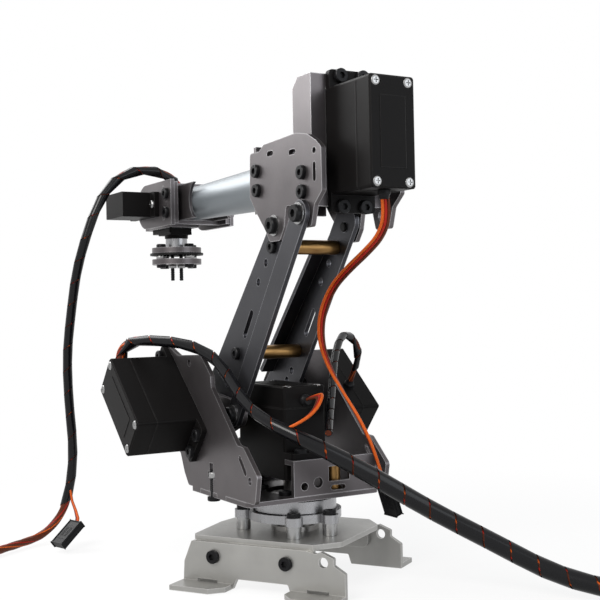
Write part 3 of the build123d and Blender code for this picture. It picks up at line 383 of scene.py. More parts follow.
# Cords: routes in millimetres, near the solids' routes and moved towards what the photo shows.
# A bundle's radius is its solid's; its thick is the outside of its wrap, and grow scales it at both ends
cords = {
    "wrist": dict(
        node="wrist_cord", body="forearm", radius=2.4, thick=4.6, core=1.75, strands=6,
        wrap=(11, 10.4), wrapFrom=0.0, wrapEnd=0.68, grow=(1.0, 1.0), length=0.300, far="connector",
        route=[
            (94.1, 4, 170), (99, 5, 172.5), (101, 10, 179), (103, 22, 182), (105, 35, 178), (105, 45, 166),
            (106, 51, 150), (111, 55, 132), (118.5, 55.5, 112), (122, 57, 91), (123, 56, 67), (121.5, 54.5, 45),
            (122.5, 56, 27), (127, 59, 12.5), (127, 69, 3.2), (118, 84, 2.6), (106, 101, 2.6), (100, 118, 2.6),
            (92, 132, 2.6),
        ],
    ),
    "main": dict(
        node="main_cord", body="turntable", radius=3.8, thick=7.2, core=3.0, strands=8,
        wrap=(11.6, 10.8), wrapFrom=0.0, wrapEnd=0.86, grow=(0.62, 1.0), length=0.298, far="connector",
        route=[
            (60.5, 52, 84.8), (65.5, 52, 92), (59, 49, 99), (46, 42, 99), (31, 33, 97.5), (18, 26.5, 92),
            (6, 25.1, 81.5), (-8, 24.8, 71.5), (-24, 20, 65), (-36, 7, 57), (-44, -10, 46), (-54, -30, 32),
            (-70, -48, 20), (-86, -63, 9), (-103, -77, 4.2), (-119, -89, 4.2), (-129, -101, 4.2),
        ],
    ),
    "rightServo": dict(
        node="right_servo_cord", body="turntable", radius=1.4, thick=3.4, core=0.93, strands=3,
        wrap=(8, 7.2), wrapFrom=0.08, wrapEnd=1.0, grow=(1.35, 1.35), length=0.108, far="object",
        route=[
            (34, -50, 75.2), (28, -50, 83), (23, -49.5, 93), (25, -45, 99.5), (18, -36, 99), (8, -26, 90),
            (-3, -18, 79), (-15, -9, 69), (-28, 0, 62),
        ],
    ),
    "elbow": dict(
        node="elbow_cord", body=None, thick=3.6,
        parts=[
            dict(name="Leads", span=(0, 0.6), length=0.0975, far="object", bends=("elbow", "lower_arm"),
                 between=((-66, -3, 143), (-14, -12, 116))),
            dict(name="LowerLeads", span=(0.6, 1), length=0.065, far="connector",
                 bends=("lower_arm", "turntable"), between=((-12, -12, 85), (-36, -15, 58))),
        ],
        route=[
            (-70, 0, 153.7), (-69, -2, 145), (-60, -5, 138), (-46, -8, 133), (-28, -11, 127), (-14, -12, 120),
            (-5, -12, 109), (-4, -12, 97), (-11, -12, 86), (-22, -12, 76), (-32, -13, 66), (-37, -16, 54),
            (-37, -20, 42),
        ],
    ),
    "baseServo": dict(
        node="base_servo_cord", body="turntable", thick=3.6,
        parts=[dict(name="Leads", span=(0, 1), length=0.0356, far="object")],
        route=[
            (-10.2, 0, 74), (-17.5, -1.2, 76), (-24.5, 0.8, 76.5), (-28.5, 6, 71.5), (-28.5, 12, 67.5),
            (-25.5, 17, 64.8),
        ],
    ),
}


# Places along a smooth curve that has the route's points as its control points
def routePoints(route):
    curve = bpy.data.curves.new("route", "CURVE")
    curve.dimensions = "3D"
    curve.resolution_u = 8
    spline = curve.splines.new("NURBS")
    spline.points.add(len(route) - 1)
    for knot, place in zip(spline.points, route):
        knot.co = (*point(place), 1)
    spline.order_u = 3
    spline.use_endpoint_u = True
    line = newObject("route", curve)
    mesh = evaluatedMesh(line)
    places = [v.co.copy() for v in mesh.vertices]
    bpy.data.objects.remove(line)
    bpy.data.meshes.remove(mesh)
    return places


# Tangent and side vectors along a path that don't twist
def walkFrames(places):
    tangents = []
    for k in range(len(places)):
        ahead = places[min(k + 1, len(places) - 1)]
        behind = places[max(k - 1, 0)]
        tangents.append((ahead - behind).normalized())
    side = tangents[0].cross(Vector((0.1, 0.2, 1))).normalized()
    frames = []
    for tangent in tangents:
        side = (side - tangent * side.dot(tangent)).normalized()
        frames.append((tangent, side, tangent.cross(side)))
    return frames


# The same path walked in equal steps
def evenPath(places, step):
    path = [places[0]]
    left = step
    for a, b in zip(places, places[1:]):
        run = (b - a).length
        at = 0.0
        while run - at >= left:
            at += left
            path.append(a.lerp(b, at / run))
            left = step
        left -= run - at
    if (path[-1] - places[-1]).length > step * 0.3:
        path.append(places[-1])
    return path


# A tube whose section is a list of (side, up) offsets
def sweptRing(bm, centres, shape, material):
    rings = []
    for centre, (tangent, side, up) in zip(centres, walkFrames(centres)):
        rings.append([bm.verts.new(centre + side * x + up * y) for x, y in shape])
    bridge(bm, rings, material)
    capEnds(bm, rings, material)


bundle = dict(step=1.2, share=0.95, growFrom=0.34, growOver=0.2, coreSides=16, wireShare=0.22, wireReach=0.97,
              wirePitch=60, wireSides=6, wrapStep=0.5, wrapThick=0.35, wrapSteps=26)


# How much of its full thickness a wrapped bundle has at a share of its length
def bundleGrowth(setting, share):
    low, high = setting["grow"]
    rise = min(max((share - bundle["growFrom"]) / bundle["growOver"], 0), 1)
    return low + (high - low) * rise * rise * (3 - 2 * rise)


# Wires twisted round the cord's line, in the usual three lead colours
def strandBundle(name, setting, path, wrapRadius):
    frames = walkFrames(path)
    wireRadius, atRadius = wrapRadius * bundle["wireShare"], wrapRadius * bundle["wireReach"]

    def build(bm):
        count = setting["strands"]
        for strand in range(count):
            centres = []
            for k, (tangent, side, up) in enumerate(frames):
                angle = 2 * math.pi * (strand / count + k * bundle["step"] / bundle["wirePitch"])
                reach = (atRadius * bundleGrowth(setting, k / len(path)) - wireRadius) * mm
                centres.append(path[k] + (side * math.cos(angle) + up * math.sin(angle)) * reach)
            sweptRing(bm, centres, circle(wireRadius * mm, bundle["wireSides"]), strand % 3)

    return meshPiece(name, setting["body"], leadColours, build, 60)


# A flat plastic band wound round the wires, with a gap between its turns
def spiralWrap(name, setting, radius):
    step, thick = bundle["wrapStep"], bundle["wrapThick"]
    pitch, wide = setting["wrap"]
    path = evenPath(routePoints(setting["route"]), step * mm)
    frames = walkFrames(path)
    first, last = int(len(path) * setting["wrapFrom"]), int(len(path) * setting["wrapEnd"])

    def build(bm):
        turns = bundle["wrapSteps"]
        rows = []
        for k in range(int((last - first) * step / pitch * turns)):
            along = k / turns * pitch
            row = []
            for across, lift in ((-wide / 2, 0), (-wide / 2, thick), (wide / 2, thick), (wide / 2, 0)):
                at = first + (along + across + wide / 2) / step
                index = min(max(int(at), 0), len(path) - 2)
                place = path[index].lerp(path[index + 1], min(max(at - index, 0), 1))
                tangent, side, up = frames[index]
                angle = 2 * math.pi * k / turns
                spoke = side * math.cos(angle) + up * math.sin(angle)
                reach = radius * bundleGrowth(setting, at / len(path)) + lift
                row.append(bm.verts.new(place + spoke * reach * mm))
            rows.append(row)
        bridge(bm, rows)
        capEnds(bm, rows)

    return meshPiece(name, setting["body"], materials["wrap"], build, 50)


# The round core inside a wrapped bundle, which grows along the route as the bundle does
def bundleCore(name, setting, path):
    def build(bm):
        rings = []
        for k, (centre, (tangent, side, up)) in enumerate(zip(path, walkFrames(path))):
            reach = setting["core"] * bundleGrowth(setting, k / len(path)) * mm
            places = [centre + (side * x + up * y) * reach for x, y in circle(1, bundle["coreSides"])]
            rings.append([bm.verts.new(place) for place in places])
        bridge(bm, rings)
        capEnds(bm, rings)

    return meshPiece(name, setting["body"], materials["wireBrown"], build, 60)


# A wrapped bundle: its core follows the route, with twisted wires and the wrap round it
def makeBundle(name, setting):
    wrapRadius = setting["radius"] * bundle["share"] - bundle["wrapThick"]
    path = evenPath(routePoints(setting["route"]), bundle["step"] * mm)
    piece = bundleCore(name + "Core", setting, path)
    extras = [
        strandBundle(name + "Wires", setting, path, wrapRadius),
        spiralWrap(name + "Wrap", setting, wrapRadius),
    ]
    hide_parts(setting["node"])


lead = dict(step=1.5, radius=0.62, sides=8, apart=1.9, twist=0.9, twistRate=0.05)


# Three wires side by side, as a servo lead is, lying across one part of the cord's line
def flatRibbon(name, setting, path, first, last):
    frames = walkFrames(path)

    def build(bm):
        for wire in range(3):
            centres = []
            for k in range(first, last + 1):
                tangent, side, up = frames[k]
                twist = lead["twist"] * math.sin(k * lead["twistRate"])
                spoke = side * math.cos(twist) + up * math.sin(twist)
                centres.append(path[k] + spoke * (wire - 1) * lead["apart"] * lead["radius"] * mm)
            sweptRing(bm, centres, circle(lead["radius"] * mm, lead["sides"]), wire)

    return meshPiece(name, setting["body"], leadColours, build, 60)


# A flat lead, in one part or in parts that each run across one joint
def makeLead(name, setting):
    path = evenPath(routePoints(setting["route"]), lead["step"] * mm)
    for part in setting["parts"]:
        first, last = [int(share * (len(path) - 1)) for share in part["span"]]
        piece = flatRibbon(name + part["name"], setting, path, first, last)
        if "bends" in part:
            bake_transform(piece)
        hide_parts(setting["node"])


plug = dict(
    wide=8.0, thick=3.0, long=14.0, pitch=2.54, bevel=0.35, proud=0.12, windowEdges=(-0.85, 0.7), edgeWide=0.15,
    window=(4, 9.5), bar=(10.6, 11.0), barInset=0.6, key=(1.5, 12), keyHalf=0.5, keyProud=0.18,
)


# A three-way lead connector: its shell, ribs and contact windows, along local Z
def connectorInto(bm, place, direction):
    matrix = Matrix.Translation(point(place)) @ turnTo(direction)
    half = (plug["wide"] / 2 * mm, plug["thick"] / 2 * mm)
    boxInto(bm, (-half[0], -half[1], 0), (half[0], half[1], plug["long"] * mm), matrix, plug["bevel"] * mm)
    windowLow, windowHigh = [v * mm for v in plug["window"]]
    barLow, barHigh = [v * mm for v in plug["bar"]]
    barHalf = half[0] - plug["barInset"] * mm
    for face in (-1, 1):
        low, high = sorted((face * half[1], face * (half[1] + plug["proud"] * mm)))
        for way in (-1, 0, 1):
            x = way * plug["pitch"] * mm
            for edge in plug["windowEdges"]:
                farEdge = x + (edge + plug["edgeWide"]) * mm
                boxInto(bm, (x + edge * mm, low, windowLow), (farEdge, high, windowHigh), matrix)
        boxInto(bm, (-barHalf, low, barLow), (barHalf, high, barHigh), matrix)
    keyHalf, keyLow, keyHigh = plug["keyHalf"] * mm, plug["key"][0] * mm, plug["key"][1] * mm
    for side in (-1, 1):
        low, high = sorted((side * half[0], side * (half[0] + plug["keyProud"] * mm)))
        boxInto(bm, (low, -keyHalf, keyLow), (high, keyHalf, keyHigh), matrix)


plugPlaces = {
    "wrist": dict(
        body="forearm", node="wrist_plug",
        places=[((92.1, 131.6, 2.6), (-8, 14, 0)), ((106.3, 58.5, 11.6), (-4, 12.5, -10.2))],
    ),
    "main": dict(body="turntable", node="turntable_plugs", places=[((-129, -101, 4.2), (-10, -12, 0))]),
    "elbow": dict(body="turntable", node="turntable_plugs", places=[((-37, -20, 42), (0, -4, -12))]),
}
plugsOf = {}
for name, setting in plugPlaces.items():
    def buildPlugs(bm):
        for place, direction in setting["places"]:
            connectorInto(bm, place, direction)
    piece = meshPiece(name + "Plugs", setting["body"], materials["plug"], buildPlugs, 30)
    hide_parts(setting["node"])
    plugsOf[name] = [piece]

# Each place ends with how far the three wires have spread there
spinLeads = dict(
    apart=1.3, radius=0.55, sides=8, steps=6,
    route=[(121.8, 56.5, 25, 0), (119, 56.6, 20, 0.3), (113, 57, 16.5, 0.6), (108.5, 57.6, 13.6, 1),
           (106.3, 58.7, 11.4, 1)],
)


# The second wrist servo's three wires, from the end of the wrap to its own connector
def shortLeads(bm):
    steps = spinLeads["steps"]
    for wire in range(3):
        across = (wire - 1) * spinLeads["apart"]
        corners = [point((x + across * spread, y, z)) for x, y, z, spread in spinLeads["route"]]
        places = [a.lerp(b, k / steps) for a, b in zip(corners, corners[1:]) for k in range(steps)]
        places.append(corners[-1])
        sweptRing(bm, places, circle(spinLeads["radius"] * mm, spinLeads["sides"]), wire)


plugsOf["wrist"].append(meshPiece("spinServoLeads", "forearm", leadColours, shortLeads, 60))

for name, setting in cords.items():
    if "wrap" in setting:
        makeBundle(name, setting)
    else:
        makeLead(name, setting)
print("cords made")


# Fasteners: the plain solids are replaced by screws, nuts and pillars with real heads
def prototype(name, build):
    mesh = builtMesh(name, build, 1e-6)
    shadeSmooth(mesh, 35)
    return newObject(name, mesh)


hexPart = math.pi / 3  # the turn from one corner of a hexagon to the next


# How far a hexagon whose corners are at 1 reaches at an angle
def hexReach(angle):
    return math.cos(hexPart / 2) / math.cos((angle % hexPart) - hexPart / 2)


headSides = 24
headAngles = [2 * math.pi * k / headSides for k in range(headSides)]


# A ring of a head, with a reach for each angle
def headRing(bm, reach, height):
    return [bm.verts.new((reach(a) * math.cos(a), reach(a) * math.sin(a), height)) for a in headAngles]


# A cap screw's head one unit in radius and height, bevelled, with a hexagon socket
def socketHead(bm):
    socket, depth = 0.5, 0.65
    rings = [headRing(bm, lambda a: radius, height) for radius, height in ((1, 0), (1, 0.8), (0.9, 1))]
    rings += [headRing(bm, lambda a: socket * hexReach(a), height) for height in (1, 1 - depth)]
    bridge(bm, rings)
    capEnds(bm, rings)


# A pan head one unit in radius and height with a cross recess
def crossHead(bm):
    lathe(bm, [(0, 0), (1, 0), (1, 0.55), (0.86, 0.85), (0.6, 1)], Matrix(), headSides)
    rings = [[v for v in bm.verts if abs(v.co.z - 1) < 1e-6]]
    quarter, armHalf, armReach, cornerReach = math.pi / 2, 0.3, 0.52, 0.17
    for level, grow in ((1, 1), (0.3, 0.7)):
        def reach(angle):
            near = abs((angle + quarter / 2) % quarter - quarter / 2)
            return (armReach if near < armHalf else cornerReach) * grow
        rings.append(headRing(bm, reach, level))
    bridge(bm, rings)
    bm.faces.new(rings[-1])


# A shank one unit in radius and length, ridged like a thread
def threadedShank(bm):
    profile = [(0, -1)]
    turns = 14
    for k in range(turns):
        profile += [(0.86, -1 + (k + 0.1) / turns), (1.0, -1 + (k + 0.6) / turns)]
    profile += [(1, 0), (0, 0)]
    lathe(bm, profile, Matrix(), 12)


# A nut one unit across its corners and one unit high, with a bore and bevelled corners
def hexNut(bm):
    bore, corner = 0.48, 0.97
    rings = [headRing(bm, lambda a: min(hexReach(a), corner) * grow, level)
             for level, grow in ((0, 0.93), (0.12, 1), (0.88, 1), (1, 0.93))]
    rings += [headRing(bm, lambda a: bore, level) for level in (1, 0)]
    bridge(bm, rings + rings[:1])


# A pillar one unit in radius and length, with bevelled ends and a bore
def roundPillar(bm):
    profile = [(0.5, -1), (0.93, -1), (1, -0.98), (1, -0.02), (0.93, 0), (0.5, 0), (0.5, -1)]
    lathe(bm, profile, Matrix(), headSides)


prototypes = {
    "cap": prototype("capHead", socketHead),
    "cross": prototype("crossHead", crossHead),
    "shank": prototype("shank", threadedShank),
    "nut": prototype("nut", hexNut),
    "pillar": prototype("pillar", roundPillar),
}


# Geometry nodes that set a prototype on every point, turned and sized by the point's attributes
def placingGroup():
    group = bpy.data.node_groups.new("Placed fasteners", "GeometryNodeTree")
    group.interface.new_socket(name="Geometry", in_out="INPUT", socket_type="NodeSocketGeometry")
    group.interface.new_socket(name="Prototype", in_out="INPUT", socket_type="NodeSocketObject")
    group.interface.new_socket(name="Material", in_out="INPUT", socket_type="NodeSocketMaterial")
    group.interface.new_socket(name="Geometry", in_out="OUTPUT", socket_type="NodeSocketGeometry")
    links = group.links
    groupIn = group.nodes.new("NodeGroupInput")
    groupOut = group.nodes.new("NodeGroupOutput")
    info = group.nodes.new("GeometryNodeObjectInfo")
    turn, grow = [group.nodes.new("GeometryNodeInputNamedAttribute") for k in range(2)]
    for attribute, name in ((turn, "turn"), (grow, "grow")):
        attribute.data_type = "FLOAT_VECTOR"
        attribute.inputs["Name"].default_value = name
    place = group.nodes.new("GeometryNodeInstanceOnPoints")
    real = group.nodes.new("GeometryNodeRealizeInstances")
    paint = group.nodes.new("GeometryNodeSetMaterial")
    links.new(groupIn.outputs["Prototype"], info.inputs["Object"])
    links.new(groupIn.outputs["Geometry"], place.inputs["Points"])
    links.new(info.outputs["Geometry"], place.inputs["Instance"])
    links.new(turn.outputs["Attribute"], place.inputs["Rotation"])
    links.new(grow.outputs["Attribute"], place.inputs["Scale"])
    links.new(place.outputs["Instances"], real.inputs["Geometry"])
    links.new(real.outputs["Geometry"], paint.inputs["Geometry"])
    links.new(groupIn.outputs["Material"], paint.inputs["Material"])
    links.new(paint.outputs["Geometry"], groupOut.inputs["Geometry"])
    return group


placing = placingGroup()


# One plain mesh of a prototype set at (place, direction, radius, length) entries, in millimetres
def placedMany(name, body, kind, material, places):
    mesh = bpy.data.meshes.new(name + "Points")
    mesh.from_pydata([point(p[0]) for p in places], [], [])
    turn = mesh.attributes.new("turn", "FLOAT_VECTOR", "POINT")
    grow = mesh.attributes.new("grow", "FLOAT_VECTOR", "POINT")
    for k, (place, direction, radius, length) in enumerate(places):
        turn.data[k].vector = turnTo(direction).to_euler()
        grow.data[k].vector = (radius * mm, radius * mm, length * mm)
    holder = newObject(name + "Holder", mesh)
    modifier = holder.modifiers.new("placed", "NODES")
    modifier.node_group = placing
    inputs = {item.name: item.identifier for item in placing.interface.items_tree if item.in_out == "INPUT"}
    modifier[inputs["Prototype"]] = prototypes[kind]
    modifier[inputs["Material"]] = materials[material]
    made = evaluatedMesh(holder)
    made.name = name
    made.materials.clear()
    made.materials.append(materials[material])
    piece = newObject(name, made)
    bpy.data.objects.remove(holder)
    shadeSmooth(made, 35)
    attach(piece, body)
    return piece


def opposite(direction):
    return tuple(-d for d in direction)


# Collects the screws, nuts and pillars of one body, then makes them as a few meshes
class Fasteners:

    def __init__(self, body):
        self.body = body
        self.found = {}

    def add(self, kind, material, place, direction, radius, length):
        self.found.setdefault((kind, material), []).append((place, direction, radius, length))

    def screw(self, seat, direction, shank, radius=1.5, head=2.75, high=1.7, kind="cap", material="blackSteel"):
        out = opposite(direction)
        self.add(kind, material, seat, out, head, high)
        self.add("shank", material, seat, out, radius, shank)

    def nut(self, place, direction, material="blackSteel", radius=3.1, high=2.3):
        self.add("nut", material, place, direction, radius, high)

    def make(self, *replaced):
        for (kind, material), places in self.found.items():
            name = self.body.replace("_", "") + kind.capitalize() + material.capitalize()
            placedMany(name, self.body, kind, material, places)
        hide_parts(*replaced)


pivots = dict(shoulder=(37, 64.7), elbow=(-21, 144.5), crank=(14, 67.5), rear=(-44, 147.3))
shoulderX, shoulderZ = pivots["shoulder"]
shoulderTilt = (0.7604, 0, 0.6494)
servoFrames = {
    "base": dict(body="turntable", origin=(0, 0, 41.8), long=(1, 0, 0), shaft=(0, 0, -1)),
    "left": dict(body="turntable", origin=(shoulderX, 22.2, shoulderZ), long=shoulderTilt, shaft=(0, -1, 0)),
    "right": dict(body="turntable", origin=(shoulderX, -22.2, shoulderZ), long=shoulderTilt, shaft=(0, 1, 0)),
    "roll": dict(body="elbow", origin=(-38.4, 0, 164.2), long=(0, 0, 1), shaft=(1, 0, 0)),
}
servo = dict(
    long=40.7, wide=19.7, deep=38.0, coverDeep=9.0, offset=10.2, lugDrop=8.8, lugThick=2.5,
    holeLong=49.5, holeWide=10.0, screwLong=36.0, screwWide=14.1, screwSunk=0.75, screwHead=1.9, screwHigh=0.95,
)


# A place in millimetres from a servo's own frame: along its length, across it, and up its shaft
def servoPlace(name, along, across, height):
    spot = servoFrames[name]
    long, shaft = Vector(spot["long"]), Vector(spot["shaft"])
    wide = shaft.cross(long)
    return tuple(Vector(spot["origin"]) + long * along + wide * across + shaft * height)


# Four lug screws in black, and four cover screws in bright steel
def servoScrews(collection, name):
    shaft = servoFrames[name]["shaft"]
    for along in (-0.5, 0.5):
        for across in (-0.5, 0.5):
            lug = servoPlace(name, servo["offset"] + along * servo["holeLong"], across * servo["holeWide"],
                             -servo["lugDrop"] - servo["lugThick"])
            collection.screw(lug, shaft, servo["lugThick"] + 3)
            cover = servoPlace(name, servo["offset"] + along * servo["screwLong"], across * servo["screwWide"],
                               -servo["deep"] + servo["screwSunk"])
            collection.add("cross", "steel", cover, opposite(shaft), servo["screwHead"], servo["screwHigh"])


trim = dict(inset=1.2, half=0.3, proud=0.14, panelLong=13, panelWide=5.5, panelProud=0.2, bevel=0.05)


# A moulded step round each servo where its cover meets its case, and a raised panel on the cover
def servoTrim(bm, name):
    spot = servoFrames[name]
    long, shaft = Vector(spot["long"]), Vector(spot["shaft"])
    wide = shaft.cross(long)
    matrix = Matrix((long, wide, shaft)).transposed().to_4x4()
    matrix.translation = point(spot["origin"])
    middle, back = servo["offset"], -servo["deep"]
    left, right = middle - servo["long"] / 2, middle + servo["long"] / 2
    half, seam = servo["wide"] / 2, back + servo["coverDeep"]
    inset, proud = trim["inset"], trim["proud"]
    seamLow, seamHigh = seam - trim["half"], seam + trim["half"]
    panelLong, panelWide = trim["panelLong"], trim["panelWide"]
    for low, high in (
        ((left + inset, half, seamLow), (right - inset, half + proud, seamHigh)),
        ((left + inset, -half - proud, seamLow), (right - inset, -half, seamHigh)),
        ((left - proud, -half + inset, seamLow), (left, half - inset, seamHigh)),
        ((right, -half + inset, seamLow), (right + proud, half - inset, seamHigh)),
        ((middle - panelLong, -panelWide, back - trim["panelProud"]), (middle + panelLong, panelWide, back)),
    ):
        boxInto(bm, [v * mm for v in low], [v * mm for v in high], matrix, trim["bevel"] * mm)


for name, spot in servoFrames.items():
    trimName = name + "ServoTrim"
    meshPiece(trimName, spot["body"], materials["servo"], lambda bm: servoTrim(bm, name), 30)

# A rubber sleeve where each lead leaves its servo
sleeves = {
    "leftLeadSleeve": ("turntable", (60.5, 52, 84.8), (7.6, 0, 6.5), 3.0),
    "rightLeadSleeve": ("turntable", (34, -50, 75.2), (-6, 0, 7.8), 2.4),
    "rollLeadSleeve": ("elbow", (-70, 0, 153.7), (0, 0, -1), 2.4),
    "baseLeadSleeve": ("turntable", (-10.2, 0, 74), (-1, 0, 0), 2.4),
}
for name, (body, place, direction, radius) in sleeves.items():
    def sleeve(bm):
        matrix = Matrix.Translation(point(place)) @ turnTo(direction)
        profile = [(0, -0.2), (1, -0.2), (1, 1.2), (0.86, 1.5), (0.7, 3.0), (0, 3.0)]
        lathe(bm, [(radius * share * mm, height * mm) for share, height in profile], matrix, 20)
    meshPiece(name, body, materials["plug"], sleeve, 40)

base = dict(yaw=math.radians(32.7), legHalf=29.5, screwZ=12.3, screws=(22.0, -11.0), lugPitch=21.5,
            lugAngles=(59.0, 149.0, 191.0, 329.0))
crossing = (45, 135, 225, 315)
tiny = dict(radius=1.0, head=1.9, high=1.3, kind="cross", material="steel")


def yawed(x, y, z):
    c, s = math.cos(base["yaw"]), math.sin(base["yaw"])
    return (x * c - y * s, x * s + y * c, z)


# A place round a middle, on a circle given by its radius and an angle in degrees
def around(radius, angle):
    return radius * math.cos(math.radians(angle)), radius * math.sin(math.radians(angle))


def baseFasteners():
    group = Fasteners("base")
    for side in (-1, 1):
        for along in base["screws"]:
            inward = yawed(0, -side, 0)
            group.screw(yawed(along, side * base["legHalf"], base["screwZ"]), inward, 7.3)
            group.nut(yawed(along, side * (base["legHalf"] - 4), base["screwZ"]), inward, "steel")
    for angle in base["lugAngles"]:
        x, y = around(base["lugPitch"], angle)
        group.screw((x, y, 28.4), (0, 0, -1), 13.7)
        group.add("pillar", "steel", (x, y, 25), (0, 0, 1), 3.0, 5.0)
        group.nut((x, y, 18), (0, 0, -1), "steel")
    group.make("base_fasteners")


def turntableFasteners():
    group = Fasteners("turntable")
    for name in ("base", "left", "right"):
        servoScrews(group, name)
    group.add("pillar", "brass", (-12.5, -11.5, 50.6), (0, 0, 1), 3.0, 14.6)
    for angle in crossing:
        x, y = around(14, angle)
        group.screw((x, y, 36), (0, 0, -1), 2)
    for side in (-1, 1):
        group.screw((15, side * 30, 34), (0, 0, 1), 11)
        group.nut((15, side * 30, 44.15), (0, 0, -1), "steel", radius=2.0)
    group.make("turntable_fasteners")


pivotSizes = dict(washer=0.6, washerRadius=4.2, radius=2.0, head=3.4, high=2.2)


# A pivot's washer, head and shank, standing outside yHigh
def pivotBolt(group, name, yLow, yHigh, side=1):
    x, z = pivots[name]
    seat = yHigh + pivotSizes["washer"]
    place = (x, side * seat, z)
    group.add("pillar", "steel", place, (0, side, 0), pivotSizes["washerRadius"], pivotSizes["washer"])
    group.screw(place, (0, -side, 0), seat - yLow, *[pivotSizes[key] for key in ("radius", "head", "high")])


armUp = Vector((-58.0, 0, 79.8)).normalized()


# A place in the lower arm's own frame: along it from the shoulder, ahead of it, and across
def armPlace(along, ahead, y):
    return (shoulderX + armUp.x * along + armUp.z * ahead, y, shoulderZ + armUp.z * along - armUp.x * ahead)


def armFasteners():
    group = Fasteners("lower_arm")
    for along, ahead in ((88.5, 0.3), (33.8, 1.7)):
        group.add("pillar", "brass", armPlace(along, ahead, 14), (0, 1, 0), 3.0, 28)
        for side in (-1, 1):
            group.screw(armPlace(along, ahead, 16 * side), (0, -side, 0), 10)
    hornTilt = 40.5
    for turn in crossing:
        x, z = around(7, hornTilt + turn)
        group.screw((shoulderX + x, -14, shoulderZ + z), (0, -1, 0), 2, **tiny)
    group.make("lower_arm_fasteners")


def elbowFasteners():
    group = Fasteners("elbow")
    servoScrews(group, "roll")
    for side in (-1, 1):
        for x, z in ((-43.5, 162.8), (-43.5, 155.5), (-7.2, 167.5), (-7.7, 159.6)):
            group.screw((x, side * 18.6, z), (0, -side, 0), 5)
    pivotBolt(group, "elbow", 13, 18.6)
    pivotBolt(group, "elbow", 13, 18.6, -1)
    pivotBolt(group, "rear", 16.6, 20.95)
    group.make("elbow_fasteners")


forearmZ, pitchX, toolX = 164.2, 119.9, 116
micro = dict(half=11.4, inset=5.9, screwHalf=13.9)


def forearmFasteners():
    group = Fasteners("forearm")
    for side in (-1, 1):
        for z in (168.5, 159.3):
            group.screw((89, side * 16.7, z), (0, -side, 0), 5)
    group.screw((pitchX, -16.7, forearmZ), (0, 1, 0), 10.4, 2.0)
    group.screw((112, -16.7, 157.3), (0, 1, 0), 4)
    middle = pitchX - micro["half"] + micro["inset"]
    for side in (-1, 1):
        group.screw((middle + side * micro["screwHalf"], 19.2, forearmZ), (0, -1, 0), 4.5, **tiny)
    group.make("fork_screws")


def wristFasteners():
    group = Fasteners("wrist")
    middle = toolX + micro["half"] - micro["inset"]
    for side in (-1, 1):
        group.screw((middle + side * micro["screwHalf"], 0, 158.2), (0, 0, -1), 4.6, **tiny)
    group.make("wrist_screws")


def crankFasteners():
    group = Fasteners("crank")
    pivotBolt(group, "crank", 16.6, 20.95)
    group.screw((shoulderX, 12, shoulderZ), (0, 1, 0), 5.15, 2.5, 4.0, 2.0)
    group.make("crank_pins")


def toolFasteners():
    group = Fasteners("tool")
    rim = dict(radius=1.5, head=2.4)
    for k in range(4):
        ahead, y = around(10, 15 + 90 * k)
        x = toolX + ahead
        group.screw((x, y, 143.8), (0, 0, -1), 7.1, **rim)
        group.screw((x, y, 135.2), (0, 0, 1), 1.5, **rim)
        group.nut((x, y, 138), (0, 0, 1), "steel", 2.6, 1.9)
    for side in (-1, 1):
        group.add("shank", "blackSteel", (toolX, side * 2.4, 143.8), (0, 0, 1), 1.0, 16.8)
        group.nut((toolX, side * 2.4, 135.2), (0, 0, -1), "steel", 2.1, 1.8)
    group.make("tool_bolts")


for makeFasteners in (
    baseFasteners, turntableFasteners, armFasteners, elbowFasteners, forearmFasteners, wristFasteners,
    crankFasteners, toolFasteners,
):
    makeFasteners()
for piece in prototypes.values():
    bpy.data.objects.remove(piece)
print("fasteners made")


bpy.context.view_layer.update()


# Stage
stage = dict(
    ambient=0.14,
    lights=(
        ("key", (-250, 500, 500), (0, 0, 110), 0.35, 5.0, (1, 0.98, 0.95)),
        ("fill", (-500, -200, 250), (0, 0, 110), 0.5, 1.6, (0.9, 0.95, 1)),
        ("rim", (400, 200, 450), (0, 0, 110), 0.4, 3.0, (1, 1, 1)),
    ),
)


# One where a ray should see the white background: camera, glossy and transmission rays
def backgroundRays(tree):
    path = tree.nodes.new("ShaderNodeLightPath")
    total = path.outputs["Is Camera Ray"]
    for kind in ("Is Glossy Ray", "Is Transmission Ray"):
        add = tree.nodes.new("ShaderNodeMath")
        add.operation = "ADD"
        add.use_clamp = True
        tree.links.new(total, add.inputs[0])
        tree.links.new(path.outputs[kind], add.inputs[1])
        total = add.outputs[0]
    return total


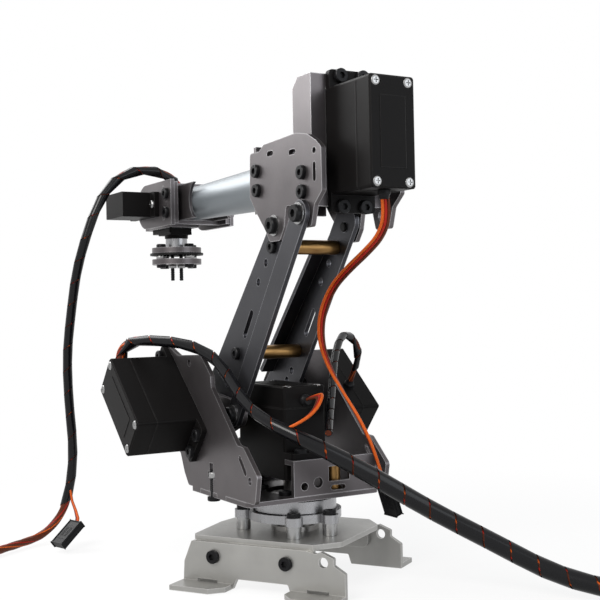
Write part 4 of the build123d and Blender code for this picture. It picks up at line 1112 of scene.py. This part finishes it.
# A pale floor under the feet, and an even white surround
def makeStage():
    mesh = bpy.data.meshes.new("floor")
    bm = bmesh.new()
    bmesh.ops.create_grid(bm, x_segments=1, y_segments=1, size=6)
    bm.to_mesh(mesh)
    bm.free()
    floor = newObject("floor", mesh)
    material, tree, shader = newMaterial("floor", (0.9, 0.9, 0.9), 0.7)
    mesh.materials.append(material)
    floor.location.z = -0.0003
    links = tree.links
    white = tree.nodes.new("ShaderNodeEmission")
    white.inputs["Color"].default_value = (1, 1, 1, 1)
    white.inputs["Strength"].default_value = 1.0
    mix = tree.nodes.new("ShaderNodeMixShader")
    place = tree.nodes.new("ShaderNodeTexCoord")
    away = tree.nodes.new("ShaderNodeVectorMath")
    away.operation = "LENGTH"
    links.new(place.outputs["Object"], away.inputs[0])
    fade = tree.nodes.new("ShaderNodeMapRange")
    for socket, value in zip(("From Min", "From Max", "To Min", "To Max"), (0.10, 0.32, 0.86, 1.0)):
        fade.inputs[socket].default_value = value
    links.new(away.outputs["Value"], fade.inputs["Value"])
    share = tree.nodes.new("ShaderNodeMath")
    share.operation = "MULTIPLY"  # what is left shows the floor's own shade, with the shadow near the feet
    links.new(backgroundRays(tree), share.inputs[0])
    links.new(fade.outputs["Result"], share.inputs[1])
    links.new(share.outputs[0], mix.inputs["Fac"])
    links.new(shader.outputs["BSDF"], mix.inputs[1])
    links.new(white.outputs["Emission"], mix.inputs[2])
    links.new(mix.outputs["Shader"], tree.nodes["Material Output"].inputs["Surface"])

    world = bpy.data.worlds.new("world")
    bpy.context.scene.world = world
    world.use_nodes = True
    tree = world.node_tree
    links = tree.links
    ambient = tree.nodes["Background"]
    ambient.inputs["Color"].default_value = (0.85, 0.92, 1.0, 1)
    ambient.inputs["Strength"].default_value = stage["ambient"]
    seen = tree.nodes.new("ShaderNodeBackground")
    seen.inputs["Color"].default_value = (1, 1, 1, 1)
    seen.inputs["Strength"].default_value = 1.0
    mix = tree.nodes.new("ShaderNodeMixShader")
    links.new(backgroundRays(tree), mix.inputs["Fac"])
    links.new(ambient.outputs["Background"], mix.inputs[1])
    links.new(seen.outputs["Background"], mix.inputs[2])
    links.new(mix.outputs["Shader"], tree.nodes["World Output"].inputs["Surface"])


def areaLight(name, place, target, size, power, colour):
    light = newObject(name, bpy.data.lights.new(name, "AREA"))
    light.data.size = size
    light.data.energy = power
    light.data.color = colour
    light.location = point(place)
    aim = point(target) - point(place)
    light.rotation_euler = aim.to_track_quat("-Z", "Y").to_euler()


makeStage()
for light in stage["lights"]:
    areaLight(*light)
bpy.context.scene.view_settings.view_transform = "Standard"
print("stage made")
